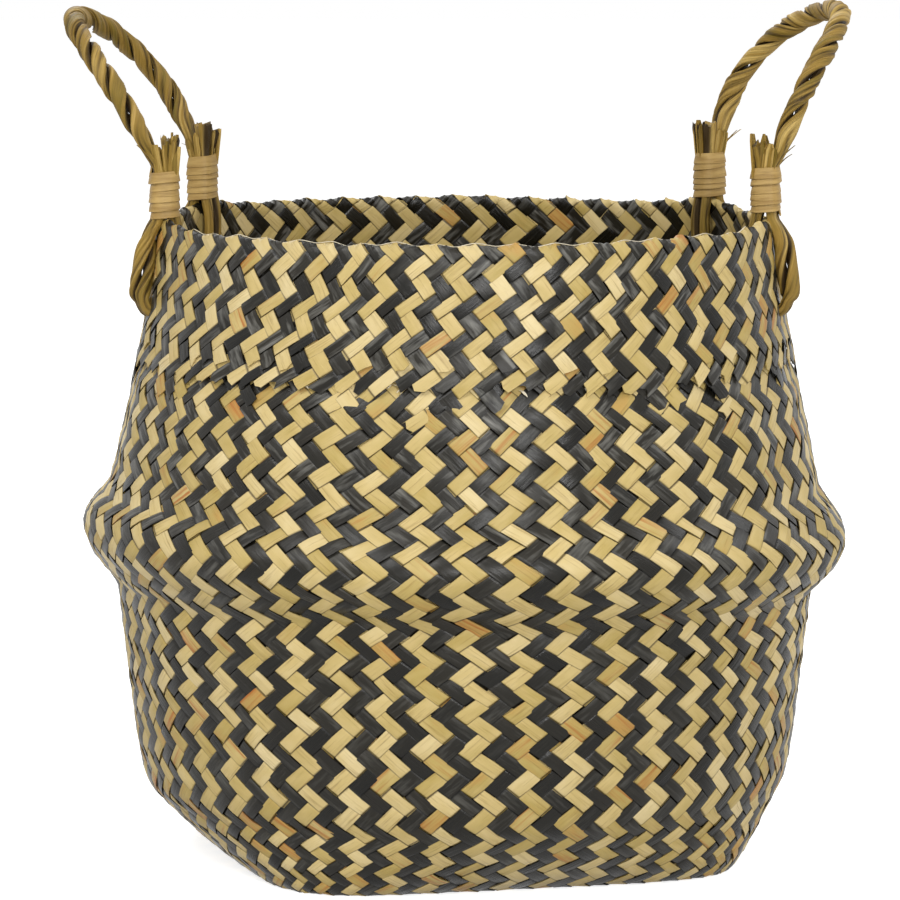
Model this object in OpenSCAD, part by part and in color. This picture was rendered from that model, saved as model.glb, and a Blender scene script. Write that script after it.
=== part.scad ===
// Woven market basket: a bellied seagrass basket with a folded ridge, a turned-over rim
// and two twisted rope handles that are bound to the rim.
// Millimetres. The origin is the centre of the base, on the surface that the basket stands on.
// +Z is up, +X is the right-hand handle's side and -Y is the front.

/* [Body] */
// Height of the rim above the surface the basket stands on
basket_h = 250; // [235:1:300]
// Outer radius of the mouth
rim_r = 122; // [110:0.5:130]
// Thickness of the woven wall, two strips with their crossings
wall_t = 2; // [1.4:0.1:3]
// Height at which the rounded-square base has become a circle
shoulder_h = 28; // [20:1:40]
// Outer radius at the shoulder
shoulder_r = 125.5; // [118:0.5:132]
// Half the width of the base, square across its flats
base_half = 92; // [80:0.5:105]
// Radius to the corners of the base
base_corner_r = 115; // [108:0.5:118]
// Turn of the base's sides from the front
base_turn = 14; // [-45:1:45]

/* [Belly fold] */
// Height of the belly's ridge
ridge_z = 130; // [115:1:145]
// Outer radius of the ridge
ridge_r = 151; // [144:0.5:160]
// Drop from the ridge to the sharp crease under it
ridge_under = 22; // [15:1:30]
// Rise from the ridge to where the upper wall starts
ridge_over = 22; // [15:1:30]
// Outer radius at the crease
crease_r = 138; // [132:0.5:142]
// Outer radius where the upper wall starts
neck_r = 139.5; // [132:0.5:142]

/* [Rim] */
// Height of the layer of strip ends that are turned over the rim and woven down over the wall
turned_h = 52; // [42:1:60]
// Thickness of the turned-over layer
fold_t = 1.4; // [0.8:0.1:2]
// Folded strips that show as scallops along the top edge
scallops = 50; // [30:1:60]
// Height of a scallop
scallop_h = 1; // [0.4:0.1:1.6]

/* [Rope] */
// Radius of one ply of the rope
ply_r = 2.6; // [2:0.1:3]
// Radius of a ply where the whipping squeezes it
bound_ply_r = 2.3; // [1.8:0.1:2.8]
// Gap between the two plies
ply_gap = 0.4; // [0.2:0.05:0.6]
// Depth below the rim at which the rope passes through the wall
leg_drop = 30; // [26:1:36]
// Length of the tail that stands out of the whipping
tail_h = 10; // [4:0.5:14]
// Lean of the tail towards the middle of the basket
tail_lean = 8; // [4:1:15]

/* [Whipping] */
// Turns of the flat strip that binds each leg
whip_turns = 5; // [3:1:7]
// Width of the strip
strip_w = 2.8; // [2:0.1:4]
// Thickness of the strip
strip_t = 1; // [0.6:0.1:1.4]
// Gap between one turn and the next
turn_gap = 0.5; // [0.45:0.05:1]
// Height of the lowest turn above the rim
whip_lift = 4.5; // [4:0.5:8]

/* [Handles] */
// Bearing of the left handle from the front, to the right of the viewer is positive
left_bearing = -98; // [-110:1:-80]
// Angle between the left handle's two legs
left_spread = 40; // [30:1:50]
// Outward lean of the left handle
left_lean = 36; // [28:1:45]
// Bearing of the right handle from the front
right_bearing = 101; // [80:1:110]
// Angle between the right handle's two legs
right_spread = 46; // [30:1:50]
// Outward lean of the right handle
right_lean = 32.5; // [28:0.5:45]
// Length of a loop from its feet to its top, along its lean
loop_h = 66; // [55:1:85]
// How much wider a loop swells than its feet, each side
loop_swell = 4; // [2:0.5:8]
// How far a loop bows inward between its feet and its top
loop_bow = 4; // [0:0.5:5]
// Turns of the rope's lay along a loop
lay_turns = 5.5; // [3:0.5:7]
// Straight length of the plies above each foot, before the lay starts
plain_len = 9; // [7:0.5:14]

/* [Clearances] */
// Gap between soft pieces that lie on each other
seat_gap = 0.3; // [0.2:0.05:0.5]
// Gap round the rope where it passes through the wall
hole_gap = 1.6; // [1.2:0.1:2]
// Gap between a loop's foot and the tail that stands beside it
foot_gap = 0.5; // [0.4:0.1:1]

/* [Hidden] */

straw = "#c2a35c";
charcoal = "#4a4638";
rope_tan = "#a98f45";
binding_tan = "#c9a765";

// Facets round the base, the wall and one ply, and rings along one turn of a whipping or lay
base_sides = 64;
wall_sides = 96;
ply_sides = 8;
turn_rings = 20;
lay_rings = 12;

crease_z = ridge_z - ridge_under;
neck_z = ridge_z + ridge_over;

// Shape of the curves between the named radii
side_power = 0.77;
corner_power = 0.5;
lower_power = 0.6;
upper_swell = 0.08;

// Rings of the base, their crowding towards the floor, how far its corners slope inside, and the
// share of the wall's thickness by which each inner ring near the floor stands above the last
base_rings = 7;
ring_power = 1.4;
corner_slope = 1.6;
floor_step = 0.05;

// Wall and turned-over layer together, where the layer ends, and over what height the wall dips
stack_t = wall_t + seat_gap + fold_t;
trim_z = basket_h - turned_h;
dip_h = 12;

// Middle of the rim's thickness, where the four bound plies stand
rim_mid_r = rim_r - stack_t / 2;
ply_off = ply_r + ply_gap / 2;
bound_off = bound_ply_r + ply_gap / 2;

whip_pitch = strip_w + turn_gap;
whip_bottom = basket_h + whip_lift;
whip_top = whip_bottom + whip_turns * whip_pitch + strip_w;
whip_half = bound_off + bound_ply_r + seat_gap + strip_t / 2;
whip_squareness = 4;

pivot_z = whip_top + seat_gap + ply_r;

left = [left_bearing, left_spread, left_lean, 1];
right = [right_bearing, right_spread, right_lean, -1];

// ---- Small helpers -------------------------------------------------------------------------

function unit(v) = v / norm(v);
function mix(a, b, k) = a + (b - a) * k;
function clamp01(x) = max(0, min(1, x));

// A point at radius r on the bearing, moved sideways by t, at height z
function polar(bearing, r, t, z) = [
    r * sin(bearing) + t * cos(bearing),
    -r * cos(bearing) + t * sin(bearing),
    z
];

// Radius of a superellipse of half-width s and the given exponent, in direction a
function squared(s, exponent, a) =
    s / pow(pow(abs(cos(a)), exponent) + pow(abs(sin(a)), exponent), 1 / exponent);

// Smooth curve through a list of vectors, with a number of steps to each stretch
function hermite(a, b, c, d, k) =
    b + (c - a) * k / 2 + (2 * a - 5 * b + 4 * c - d) * k * k / 2
    + (3 * b - a - 3 * c + d) * k * k * k / 2;
function smooth_through(list, steps) = [
    for (i = [0 : len(list) - 2])
        for (j = [0 : steps - 1])
            hermite(list[max(i - 1, 0)], list[i], list[i + 1],
                    list[min(i + 2, len(list) - 1)], j / steps),
    list[len(list) - 1]
];

// Faces of a closed skin over rings of n points: sides in triangles, ends as flat polygons
function side_faces(rings, n) = [
    for (i = [0 : rings - 2])
        for (j = [0 : n - 1])
            let (k = (j + 1) % n, a = i * n)
            for (face = [[a + j, a + n + k, a + k], [a + j, a + n + j, a + n + k]])
                face
];
function end_faces(rings, n) = [
    [for (j = [0 : n - 1]) j],
    [for (j = [n - 1 : -1 : 0]) (rings - 1) * n + j]
];

module skin(rings) {
    n = len(rings[0]);
    polyhedron(
        points = [for (ring = rings) each ring],
        faces = concat(side_faces(len(rings), n), end_faces(len(rings), n)),
        convexity = 8
    );
}

// Direction of a path at its point i
function heading(path, i) = unit(path[min(i + 1, len(path) - 1)] - path[max(i - 1, 0)]);

// Rings of a round tube along a path, with a radius at each point
function tube_rings(path, radii, across) = [
    for (i = [0 : len(path) - 1])
        let (t = heading(path, i), x = unit(cross(t, across)), y = cross(t, x))
        [for (j = [0 : ply_sides - 1])
            let (a = 360 * j / ply_sides)
            path[i] + radii[i] * (cos(a) * x + sin(a) * y)]
];

// ---- Woven body ----------------------------------------------------------------------------

// Outer radius of the round wall at height z
function wall_r(z) =
    z <= crease_z
        ? mix(shoulder_r, crease_r, pow(clamp01((z - shoulder_h) / (crease_z - shoulder_h)), lower_power))
    : z <= ridge_z
        ? mix(crease_r, ridge_r, sin(90 * (z - crease_z) / ridge_under))
    : z <= neck_z
        ? mix(ridge_r, neck_r, (1 - cos(180 * (z - ridge_z) / ridge_over)) / 2)
    : let (k = (z - neck_z) / (basket_h - neck_z))
        mix(neck_r, rim_r, k + upper_swell * sin(180 * k));

wall_top = basket_h - fold_t - seat_gap;

// Outer radius of the wall itself, which dips under the turned-over layer
function body_r(z) = wall_r(z) - (fold_t + seat_gap) * clamp01((z - trim_z) / dip_h + 1);

// One ring of the base: it goes from a rounded square at the bottom to a circle at the shoulder
function base_ring(z, inset) =
    let (
        k = clamp01(z / shoulder_h),
        side = mix(base_half, shoulder_r, pow(k, side_power)),
        corner = mix(base_corner_r, shoulder_r, pow(k, corner_power)),
        exponent = 1 / (0.5 - ln(corner / side) / ln(2))
    )
    [for (j = [0 : base_sides - 1])
        let (a = 360 * j / base_sides, r = squared(side, exponent, a - base_turn) - inset)
        [r * sin(a), -r * cos(a), z]];

// Height of a ring of the base
function ring_z(k) = shoulder_h * pow(k / base_rings, ring_power);

// The base's corner slopes, so its inset is more than the wall's thickness
module woven_base() {
    floor_inset = wall_t * corner_slope;
    color(straw)
        skin([
            for (k = [0 : base_rings]) base_ring(ring_z(k), 0),
            for (k = [base_rings - 1 : -1 : 1])
                base_ring(max(ring_z(k), wall_t * (1 + k * floor_step)),
                          mix(floor_inset, wall_t, k / base_rings)),
            base_ring(wall_t, floor_inset)
        ]);
}

// Slot through the wall for the two plies of one leg
module leg_slot(bearing) {
    hole_r = ply_r + hole_gap;
    depth = 4 * ply_r + stack_t;
    z = basket_h - leg_drop;
    translate(polar(bearing, wall_r(z) - stack_t / 2, 0, z))
        rotate([0, 0, bearing]) {
            cube([2 * ply_off, depth, 2 * hole_r], center = true);
            for (side = [-1, 1])
                translate([side * ply_off, 0, 0])
                    rotate([90, 0, 0])
                        cylinder(r = hole_r, h = depth, center = true, $fn = 32);
        }
}

// Four slots, one for each leg
module leg_slots() {
    for (handle = [left, right])
        for (end = [-1, 1])
            leg_slot(handle[0] + end * handle[1] / 2);
}

// Ring between an outline of [radius, height] going up and the same outline further in
module shell(outline, thickness) {
    rotate_extrude($fn = wall_sides)
        polygon([
            each outline,
            for (k = [len(outline) - 1 : -1 : 0]) outline[k] - [thickness, 0]
        ]);
}

// Evenly spaced heights from low to high
function heights(low, high, rings) = [for (k = [0 : rings]) mix(low, high, k / rings)];

// One zone of the wall between two of its fold lines
module wall_zone(low, high, rings) {
    shell([for (z = heights(low, high, rings)) [body_r(z), z]], wall_t);
}

module lower_wall() {
    color(straw)
        wall_zone(shoulder_h, crease_z, 9);
}

// Slope from the sharp crease out to the ridge
module belly_underside() {
    color(charcoal)
        wall_zone(crease_z, ridge_z, 6);
}

// Rounded slope from the ridge back in to the upper wall
module belly_shoulder() {
    color(straw)
        wall_zone(ridge_z, neck_z, 8);
}

module upper_wall() {
    color(charcoal)
        difference() {
            wall_zone(neck_z, wall_top, 16);
            leg_slots();
        }
}

// Strip ends turned over the rim and woven back down over the wall, trimmed at its lower edge
module turned_layer() {
    color(straw)
        difference() {
            shell([for (z = heights(trim_z, wall_top, 6)) [wall_r(z), z]], fold_t);
            leg_slots();
        }
}

// The folds of the strips, a scalloped cap over the edges of the wall and the turned layer
module rim_fold() {
    steps = scallops * 3;
    under = wall_r(wall_top) - stack_t;
    rings = [
        for (i = [0 : steps - 1])
            let (
                a = 360 * i / steps,
                top = basket_h - scallop_h * (1 - cos(360 * i / 3)) / 3
            )
            [for (p = [
                [under, top - fold_t / 2],
                [rim_mid_r, top],
                [rim_r - fold_t / 3, top - fold_t / 4],
                [rim_r, basket_h - fold_t],
                [under, basket_h - fold_t]
            ]) [p[0] * sin(a), -p[0] * cos(a), p[1]]]
    ];
    n = len(rings[0]);
    color(straw)
        polyhedron(
            points = [for (ring = rings) each ring],
            faces = [
                for (i = [0 : steps - 1])
                    for (j = [0 : n - 1])
                        let (k = (j + 1) % n, a = i * n, b = ((i + 1) % steps) * n)
                        for (face = [[a + j, b + k, a + k], [a + j, b + j, b + k]])
                            face
            ],
            convexity = 8
        );
}

// ---- Rope legs -----------------------------------------------------------------------------

// Route of a leg's pair of plies, from the top of the whipping down the outside, through the
// wall and up the inside: [radius, height, turn of the lay, offset of a ply, radius of a ply]
hole_z = basket_h - leg_drop;
bend_r = stack_t / 2 + 2 * seat_gap + ply_r;
bend_mid = wall_r(hole_z + bend_r) - stack_t / 2;
function outside(z) = wall_r(z) + seat_gap + ply_r;
function inside(z) = wall_r(z) - stack_t - seat_gap - ply_r;
run_top = basket_h - ply_r * 3;
run_bottom = hole_z + bend_r + ply_r;
inner_top = basket_h - ply_r;
leg_route = [
    [rim_mid_r + bound_off, whip_top, 0, bound_off, bound_ply_r],
    [rim_mid_r + bound_off, whip_bottom + 1, 0, bound_off, bound_ply_r],
    [rim_r + seat_gap + ply_r, basket_h, 0, bound_off, bound_ply_r],
    [outside(run_top) + ply_off / 2, run_top + ply_r, 15, ply_off, ply_r],
    for (k = [0 : 4])
        let (z = mix(run_top, run_bottom, k / 4))
        [outside(z) + ply_off, z, mix(35, 155, k / 4), ply_off, ply_r],
    for (a = [0 : 45 : 180])
        [bend_mid + bend_r * cos(a), hole_z + bend_r * (1 - sin(a)), 180, ply_off, ply_r],
    [inside(run_bottom) - seat_gap, run_bottom, 180, ply_off, ply_r],
    [inside(run_top) - seat_gap, mix(run_bottom, inner_top, 0.5), 180, ply_off, ply_r],
    [inside(basket_h), inner_top, 180, ply_off, bound_ply_r],
    [rim_mid_r - bound_off, whip_bottom + 1, 180, bound_off, bound_ply_r],
    [rim_mid_r - bound_off, whip_top, 180, bound_off, bound_ply_r],
    [rim_mid_r - bound_off - tail_h * tan(tail_lean), whip_top + tail_h, 180, bound_off, bound_ply_r]
];

function leg_path(bearing, side) = [
    for (p = smooth_through(leg_route, 2))
        polar(bearing, p[0] + side * p[3] * sin(p[2]), side * p[3] * cos(p[2]), p[1])
];

module leg_ply(bearing, side) {
    color(rope_tan)
        skin(tube_rings(
            leg_path(bearing, side),
            [for (p = smooth_through(leg_route, 2)) p[4]],
            [cos(bearing), sin(bearing), 0]
        ));
}

// ---- Whippings -----------------------------------------------------------------------------

// Flat strip wound round the four bound plies, as one unbroken band
function whip_rings(bearing) = [
    for (i = [0 : whip_turns * turn_rings])
        let (
            a = 360 * i / turn_rings,
            z = whip_bottom + strip_w / 2 + whip_pitch * i / turn_rings,
            r = squared(whip_half, whip_squareness, a)
        )
        [for (p = [
            [-strip_t / 4, -strip_w / 2],
            [-strip_t / 2, -strip_w / 4],
            [-strip_t / 2, strip_w / 4],
            [-strip_t / 4, strip_w / 2],
            [strip_t / 2, strip_w / 4],
            [strip_t / 2, -strip_w / 4]
        ]) polar(bearing, rim_mid_r + (r + p[0]) * cos(a), (r + p[0]) * sin(a), z + p[1])]
];

// Least gap between a turn and the next, measured from point to point of their facing edges
function turn_gaps(rings) = [
    for (i = [0 : len(rings) - 1 - turn_rings])
        for (k = [-1 : 1])
            if (i + turn_rings + k < len(rings))
                for (p = rings[i])
                    for (q = rings[i + turn_rings + k])
                        norm(p - q)
];
echo(whipping_least_gap = min(turn_gaps(whip_rings(0))));

module whipping(bearing) {
    color(binding_tan)
        skin(whip_rings(bearing));
}

// ---- Handle loops --------------------------------------------------------------------------

// A foot stands over the outer two bound plies, clear of the tail
function foot_r(handle) =
    rim_mid_r - bound_off + bound_ply_r + ply_r + foot_gap + ply_off * sin(handle[1] / 2);
function half_chord(handle) = foot_r(handle) * sin(handle[1] / 2);
function chord_r(handle) = foot_r(handle) * cos(handle[1] / 2);
function outward(handle) = [sin(handle[0]), -cos(handle[0]), 0];
function along(handle) = [cos(handle[0]), sin(handle[0]), 0];

// Middle line of a loop at k = 0 to 1 from foot to foot: an ellipse's arc in the leaning plane
function rise(handle) = cos(handle[2]) * [0, 0, 1] + sin(handle[2]) * outward(handle);
function facing(handle) = cos(handle[2]) * outward(handle) - sin(handle[2]) * [0, 0, 1];
function loop_mid(handle, k) =
    let (
        half = half_chord(handle),
        wide = half + loop_swell,
        start = acos(half / wide),
        a = mix(-start, 180 + start, k),
        up = loop_h * (sin(a) + sin(start)) / (1 + sin(start)),
        bow = 4 * loop_bow * (up / loop_h) * (1 - up / loop_h)
    )
    chord_r(handle) * outward(handle) + [0, 0, pivot_z]
    - wide * cos(a) * along(handle) + up * rise(handle) - bow * facing(handle);

loop_steps = ceil(lay_turns * lay_rings) + 8;
function loop_line(handle) = [for (i = [0 : loop_steps]) loop_mid(handle, i / loop_steps)];
function length_of(path, i = 1) =
    i == len(path) ? 0 : norm(path[i] - path[i - 1]) + length_of(path, i + 1);

// The lay starts and ends gently, past the plain plies above each foot
ease_len = 8;
function eased(s) = s <= 0 ? 0 : s < ease_len ? s * s / (2 * ease_len) : s - ease_len / 2;
function lay_turn(s, whole) =
    let (laid = whole - 2 * plain_len, x = s - plain_len)
    360 * lay_turns * (x > laid - ease_len
        ? laid - ease_len - eased(laid - x)
        : eased(x)) / (laid - ease_len);

function loop_ply_path(handle, side) =
    let (line = loop_line(handle), whole = length_of(line))
    [for (i = [0 : loop_steps])
        let (
            s = whole * i / loop_steps,
            end = s < whole / 2 ? 1 : -1,
            plain = 1 - clamp01(min(s, whole - s) / plain_len),
            t = heading(line, i),
            flat = unit(cross(facing(handle), t)) * -1,
            x = unit(mix(flat, end * along(handle), plain)),
            y = unit(cross(t, x)),
            a = lay_turn(s, whole)
        )
        line[i] + side * ply_off * (cos(a) * x + sin(a) * y)];

// Round ends whose centres lie on the pivot, so a loop turns on them without rising
end_angles = [40, 70];
function round_end(path, across, first) =
    let (
        p = first ? path[0] : path[len(path) - 1],
        t = (first ? -1 : 1) * heading(path, first ? 0 : len(path) - 1)
    )
    [for (i = [0 : 1])
        let (a = end_angles[first ? 1 - i : i])
        [p + t * ply_r * sin(a), ply_r * cos(a)]];

module loop_ply(handle, side) {
    path = loop_ply_path(handle, side);
    all = concat(
        round_end(path, facing(handle), true),
        [for (p = path) [p, ply_r]],
        round_end(path, facing(handle), false)
    );
    color(rope_tan)
        skin(tube_rings([for (q = all) q[0]], [for (q = all) q[1]], facing(handle)));
}

for (handle = [left, right])
    echo(pivot = chord_r(handle) * outward(handle) + [0, 0, pivot_z], axis = along(handle),
         loop_length = length_of(loop_line(handle)));

// ---- Assembly ------------------------------------------------------------------------------

function front_bearing(handle) = handle[0] + handle[3] * handle[1] / 2;
function back_bearing(handle) = handle[0] - handle[3] * handle[1] / 2;

woven_base();
lower_wall();
belly_underside();
belly_shoulder();
upper_wall();
turned_layer();
rim_fold();
leg_ply(front_bearing(left), -1);  // left_front_leg_ply_a
leg_ply(front_bearing(left), 1);  // left_front_leg_ply_b
leg_ply(back_bearing(left), -1);  // left_back_leg_ply_a
leg_ply(back_bearing(left), 1);  // left_back_leg_ply_b
leg_ply(front_bearing(right), -1);  // right_front_leg_ply_a
leg_ply(front_bearing(right), 1);  // right_front_leg_ply_b
leg_ply(back_bearing(right), -1);  // right_back_leg_ply_a
leg_ply(back_bearing(right), 1);  // right_back_leg_ply_b
whipping(front_bearing(left));  // left_front_whipping
whipping(back_bearing(left));  // left_back_whipping
whipping(front_bearing(right));  // right_front_whipping
whipping(back_bearing(right));  // right_back_whipping
loop_ply(left, -1);  // left_handle_ply_a
loop_ply(left, 1);  // left_handle_ply_b
loop_ply(right, -1);  // right_handle_ply_a
loop_ply(right, 1);  // right_handle_ply_b
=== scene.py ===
"""Looks of a bellied market basket woven from flat natural and black strips.

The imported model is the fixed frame. Every strip of the weave is modelled from rim to rim, the
two handles are twisted from leaf plies, and flat strips are wound round their legs.
All shapes are worked out in millimetres and written in metres.
"""
import logging
import math
from dataclasses import dataclass, field
from enum import Enum
from typing import Any, Dict, List, Optional, Sequence, Tuple, Union

import bpy
import numpy as np
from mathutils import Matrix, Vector


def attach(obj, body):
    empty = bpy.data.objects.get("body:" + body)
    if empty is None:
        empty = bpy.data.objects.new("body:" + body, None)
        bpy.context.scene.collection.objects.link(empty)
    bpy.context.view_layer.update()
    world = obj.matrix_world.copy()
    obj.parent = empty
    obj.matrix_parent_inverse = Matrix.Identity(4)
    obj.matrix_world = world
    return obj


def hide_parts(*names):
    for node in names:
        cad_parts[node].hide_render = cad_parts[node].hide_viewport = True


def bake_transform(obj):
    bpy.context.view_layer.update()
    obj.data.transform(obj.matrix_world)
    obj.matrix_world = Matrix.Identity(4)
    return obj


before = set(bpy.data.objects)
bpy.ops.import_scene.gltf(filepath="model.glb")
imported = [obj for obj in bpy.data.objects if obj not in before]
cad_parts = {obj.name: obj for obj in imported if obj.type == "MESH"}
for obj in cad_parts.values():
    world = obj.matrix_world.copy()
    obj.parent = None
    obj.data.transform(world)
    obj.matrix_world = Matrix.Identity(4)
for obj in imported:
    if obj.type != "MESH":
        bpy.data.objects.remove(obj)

logging.basicConfig(level=logging.INFO, format="%(message)s")
log = logging.getLogger("basket")

MM = 0.001
LEAF_CURL = 0.35        # Rise of a sliver's middle, as a share of its half-width
LEAF_UV = 0.002         # Metres of the UV map to one point of a sliver
PHASE = 6.28            # Top of a random phase, in radians
WHITE = (1, 1, 1, 1)
Array = np.ndarray
Colour = Tuple[float, float, float, float]
Value = Union[float, "Expr"]


# ---- Small helpers --------------------------------------------------------------------------


def srgb(red: int, green: int, blue: int) -> Colour:
    """Turn a screen colour into a linear one.

    Args:
        red: Red from 0 to 255.
        green: Green from 0 to 255.
        blue: Blue from 0 to 255.

    Returns:
        The linear colour with an alpha of 1.
    """
    def linear(value: int) -> float:
        """Undo the screen curve of one channel."""
        part = value / 255
        return part / 12.92 if part <= 0.04045 else ((part + 0.055) / 1.055) ** 2.4
    return linear(red), linear(green), linear(blue), 1.0


def mix(low: Any, high: Any, share: Any) -> Any:
    """Blend two numbers or arrays by a share from 0 to 1."""
    return low + (high - low) * share


def smoothstep(low: float, high: float, x: Array) -> Array:
    """Rise smoothly from 0 at low to 1 at high."""
    share = np.clip((x - low) / (high - low), 0, 1)
    return share * share * (3 - 2 * share)


def unit(vectors: Array) -> Array:
    """Scale vectors to a length of 1."""
    return vectors / np.maximum(np.linalg.norm(vectors, axis=-1, keepdims=True), 1e-12)


def polar(bearing: Array, radius: Array, side: Array, height: Array) -> Array:
    """Place points by bearing from the front.

    Args:
        bearing: Degrees from the front, positive to the viewer's right.
        radius: Distance from the basket's axis in mm.
        side: Shift along the wall in mm.
        height: Height in mm.

    Returns:
        Points in mm, in the row frame.
    """
    turn = np.radians(bearing)
    x = radius * np.sin(turn) + side * np.cos(turn)
    y = -radius * np.cos(turn) + side * np.sin(turn)
    return np.stack(np.broadcast_arrays(x, y, height), axis=-1).astype(float)


def through(points: Array, steps: int) -> Array:
    """Draw a smooth curve through rows of numbers, with a number of steps to each stretch."""
    rows = []
    last = len(points) - 1
    for i in range(last):
        a, b = points[max(i - 1, 0)], points[i]
        c, d = points[i + 1], points[min(i + 2, last)]
        for j in range(steps):
            k = j / steps
            rows.append(b + (c - a) * k / 2 + (2 * a - 5 * b + 4 * c - d) * k * k / 2
                        + (3 * b - a - 3 * c + d) * k ** 3 / 2)
    rows.append(points[last])
    return np.array(rows)


def lengths(points: Array) -> Array:
    """Give the length along a line at each of its points."""
    return np.concatenate([[0], np.cumsum(np.linalg.norm(np.diff(points, axis=0), axis=1))])


def sampled(where: Array, table: Array, points: Array) -> Array:
    """Give the points that lie at chosen places of a table."""
    return np.stack([np.interp(where, table, points[:, k]) for k in range(3)], -1)


def deselect() -> None:
    """Clear the selection, since an operator acts on all that is selected."""
    if bpy.context.object and bpy.context.object.mode != "OBJECT":
        bpy.ops.object.mode_set(mode="OBJECT")
    bpy.ops.object.select_all(action="DESELECT")


def activate(piece: bpy.types.Object) -> None:
    """Select one object alone and make it the active one."""
    deselect()
    piece.select_set(True)
    bpy.context.view_layer.objects.active = piece


def mesh_piece(name: str, points: Array, quads: Array, uv: Optional[Array] = None,
               tones: Optional[Dict[str, Array]] = None, angle: float = 42) -> bpy.types.Object:
    """Make an object from points in mm and quads.

    Args:
        name: Name of the piece.
        points: Points in mm.
        quads: Four point numbers to each face.
        uv: One UV pair to each point.
        tones: Named numbers, one to each point.
        angle: Edges sharper than this many degrees stay sharp.

    Returns:
        The new object.
    """
    mesh = bpy.data.meshes.new(name)
    mesh.vertices.add(len(points))
    mesh.vertices.foreach_set("co", (points * MM).astype(np.float32).ravel())
    mesh.loops.add(quads.size)
    mesh.loops.foreach_set("vertex_index", quads.astype(np.int32).ravel())
    mesh.polygons.add(len(quads))
    mesh.polygons.foreach_set("loop_start", np.arange(0, quads.size, 4, dtype=np.int32))
    mesh.polygons.foreach_set("loop_total", np.full(len(quads), 4, dtype=np.int32))
    if uv is not None:
        layer = mesh.uv_layers.new(name="UVMap")
        layer.data.foreach_set("uv", uv[quads.ravel()].astype(np.float32).ravel())
    for key, values in (tones or {}).items():
        mesh.attributes.new(key, "FLOAT", "POINT").data.foreach_set(
            "value", values.astype(np.float32))
    mesh.update(calc_edges=True)
    piece = bpy.data.objects.new(name, mesh)
    bpy.context.scene.collection.objects.link(piece)
    activate(piece)
    bpy.ops.object.shade_smooth_by_angle(angle=math.radians(angle))
    deselect()
    return piece


def closed_skin(rings: int, sides: int, turned: bool = False) -> Array:
    """Join rings of points into a skin that is closed at both ends.

    Args:
        rings: Number of rings.
        sides: Points in each ring, an even number.
        turned: Turn every face over, where the rings run round against the path.

    Returns:
        The quads.
    """
    ring = np.arange(rings - 1)[:, None] * sides
    here = np.arange(sides)[None, :]
    after = (here + 1) % sides
    wall = np.stack([ring + here, ring + sides + here, ring + sides + after, ring + after], -1)
    cap = np.array([[k - 1, k, sides - 1 - k, sides - k] for k in range(1, sides // 2)])
    quads = np.concatenate([wall.reshape(-1, 4), cap, cap[:, ::-1] + (rings - 1) * sides])
    return quads[:, ::-1] if turned else quads


def sliver(line: Array, width: Array, turn: float, rng: np.random.Generator,
           thick: float = 0.22) -> Dict[str, Array]:
    """Make one thin curled leaf along a line.

    Args:
        line: Points in mm.
        width: Half-width at each point in mm.
        turn: Bearing that its flat side faces, in degrees.
        rng: Source of its tone.
        thick: Half its thickness in mm.

    Returns:
        Points, quads, UV and tones.
    """
    flat = polar(turn, 0, 1.0, 0)
    out = polar(turn, 1.0, 0.0, 0)
    across = np.array([-1, -0.4, 0.4, 1.0])
    curl = LEAF_CURL * (1 - across ** 2)
    side = (width[:, None] * across)[..., None] * flat
    upper = line[:, None] + side + ((curl * width[:, None] + thick)[..., None] * out)
    under = line[:, None] + side + ((curl * width[:, None] - thick)[..., None] * out)
    ring = np.concatenate([upper, under[:, ::-1]], axis=1)
    count, sides = ring.shape[:2]
    u = np.tile(np.concatenate([across, across[::-1]]) * LEAF_UV, count)
    v = np.repeat(np.arange(count) * LEAF_UV + rng.random() * 5, sides)
    return {"points": ring.reshape(-1, 3), "quads": closed_skin(count, sides, turned=True),
            "uv": np.stack([u, v], -1), "groove": np.zeros(count * sides),
            "strip_tone": np.full(count * sides, rng.random())}


def join(name: str, parts: List[Dict[str, Array]], material: bpy.types.Material,
         angle: float = 70) -> bpy.types.Object:
    """Join several skins into one piece.

    Args:
        name: Name of the piece.
        parts: Skins with the same keys.
        material: Material of the piece.
        angle: Edges sharper than this many degrees stay sharp.

    Returns:
        The new object.
    """
    starts = np.cumsum([0] + [len(part["points"]) for part in parts[:-1]])
    joined = {key: np.concatenate([part[key] for part in parts])
              for key in parts[0] if key != "quads"}
    quads = np.concatenate([part["quads"] + start for part, start in zip(parts, starts)])
    tones = {key: value for key, value in joined.items() if key not in ("points", "uv")}
    piece = mesh_piece(name, joined["points"], quads, joined["uv"], tones, angle)
    piece.data.materials.append(material)
    return piece


# ---- Shader expressions ---------------------------------------------------------------------


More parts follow.
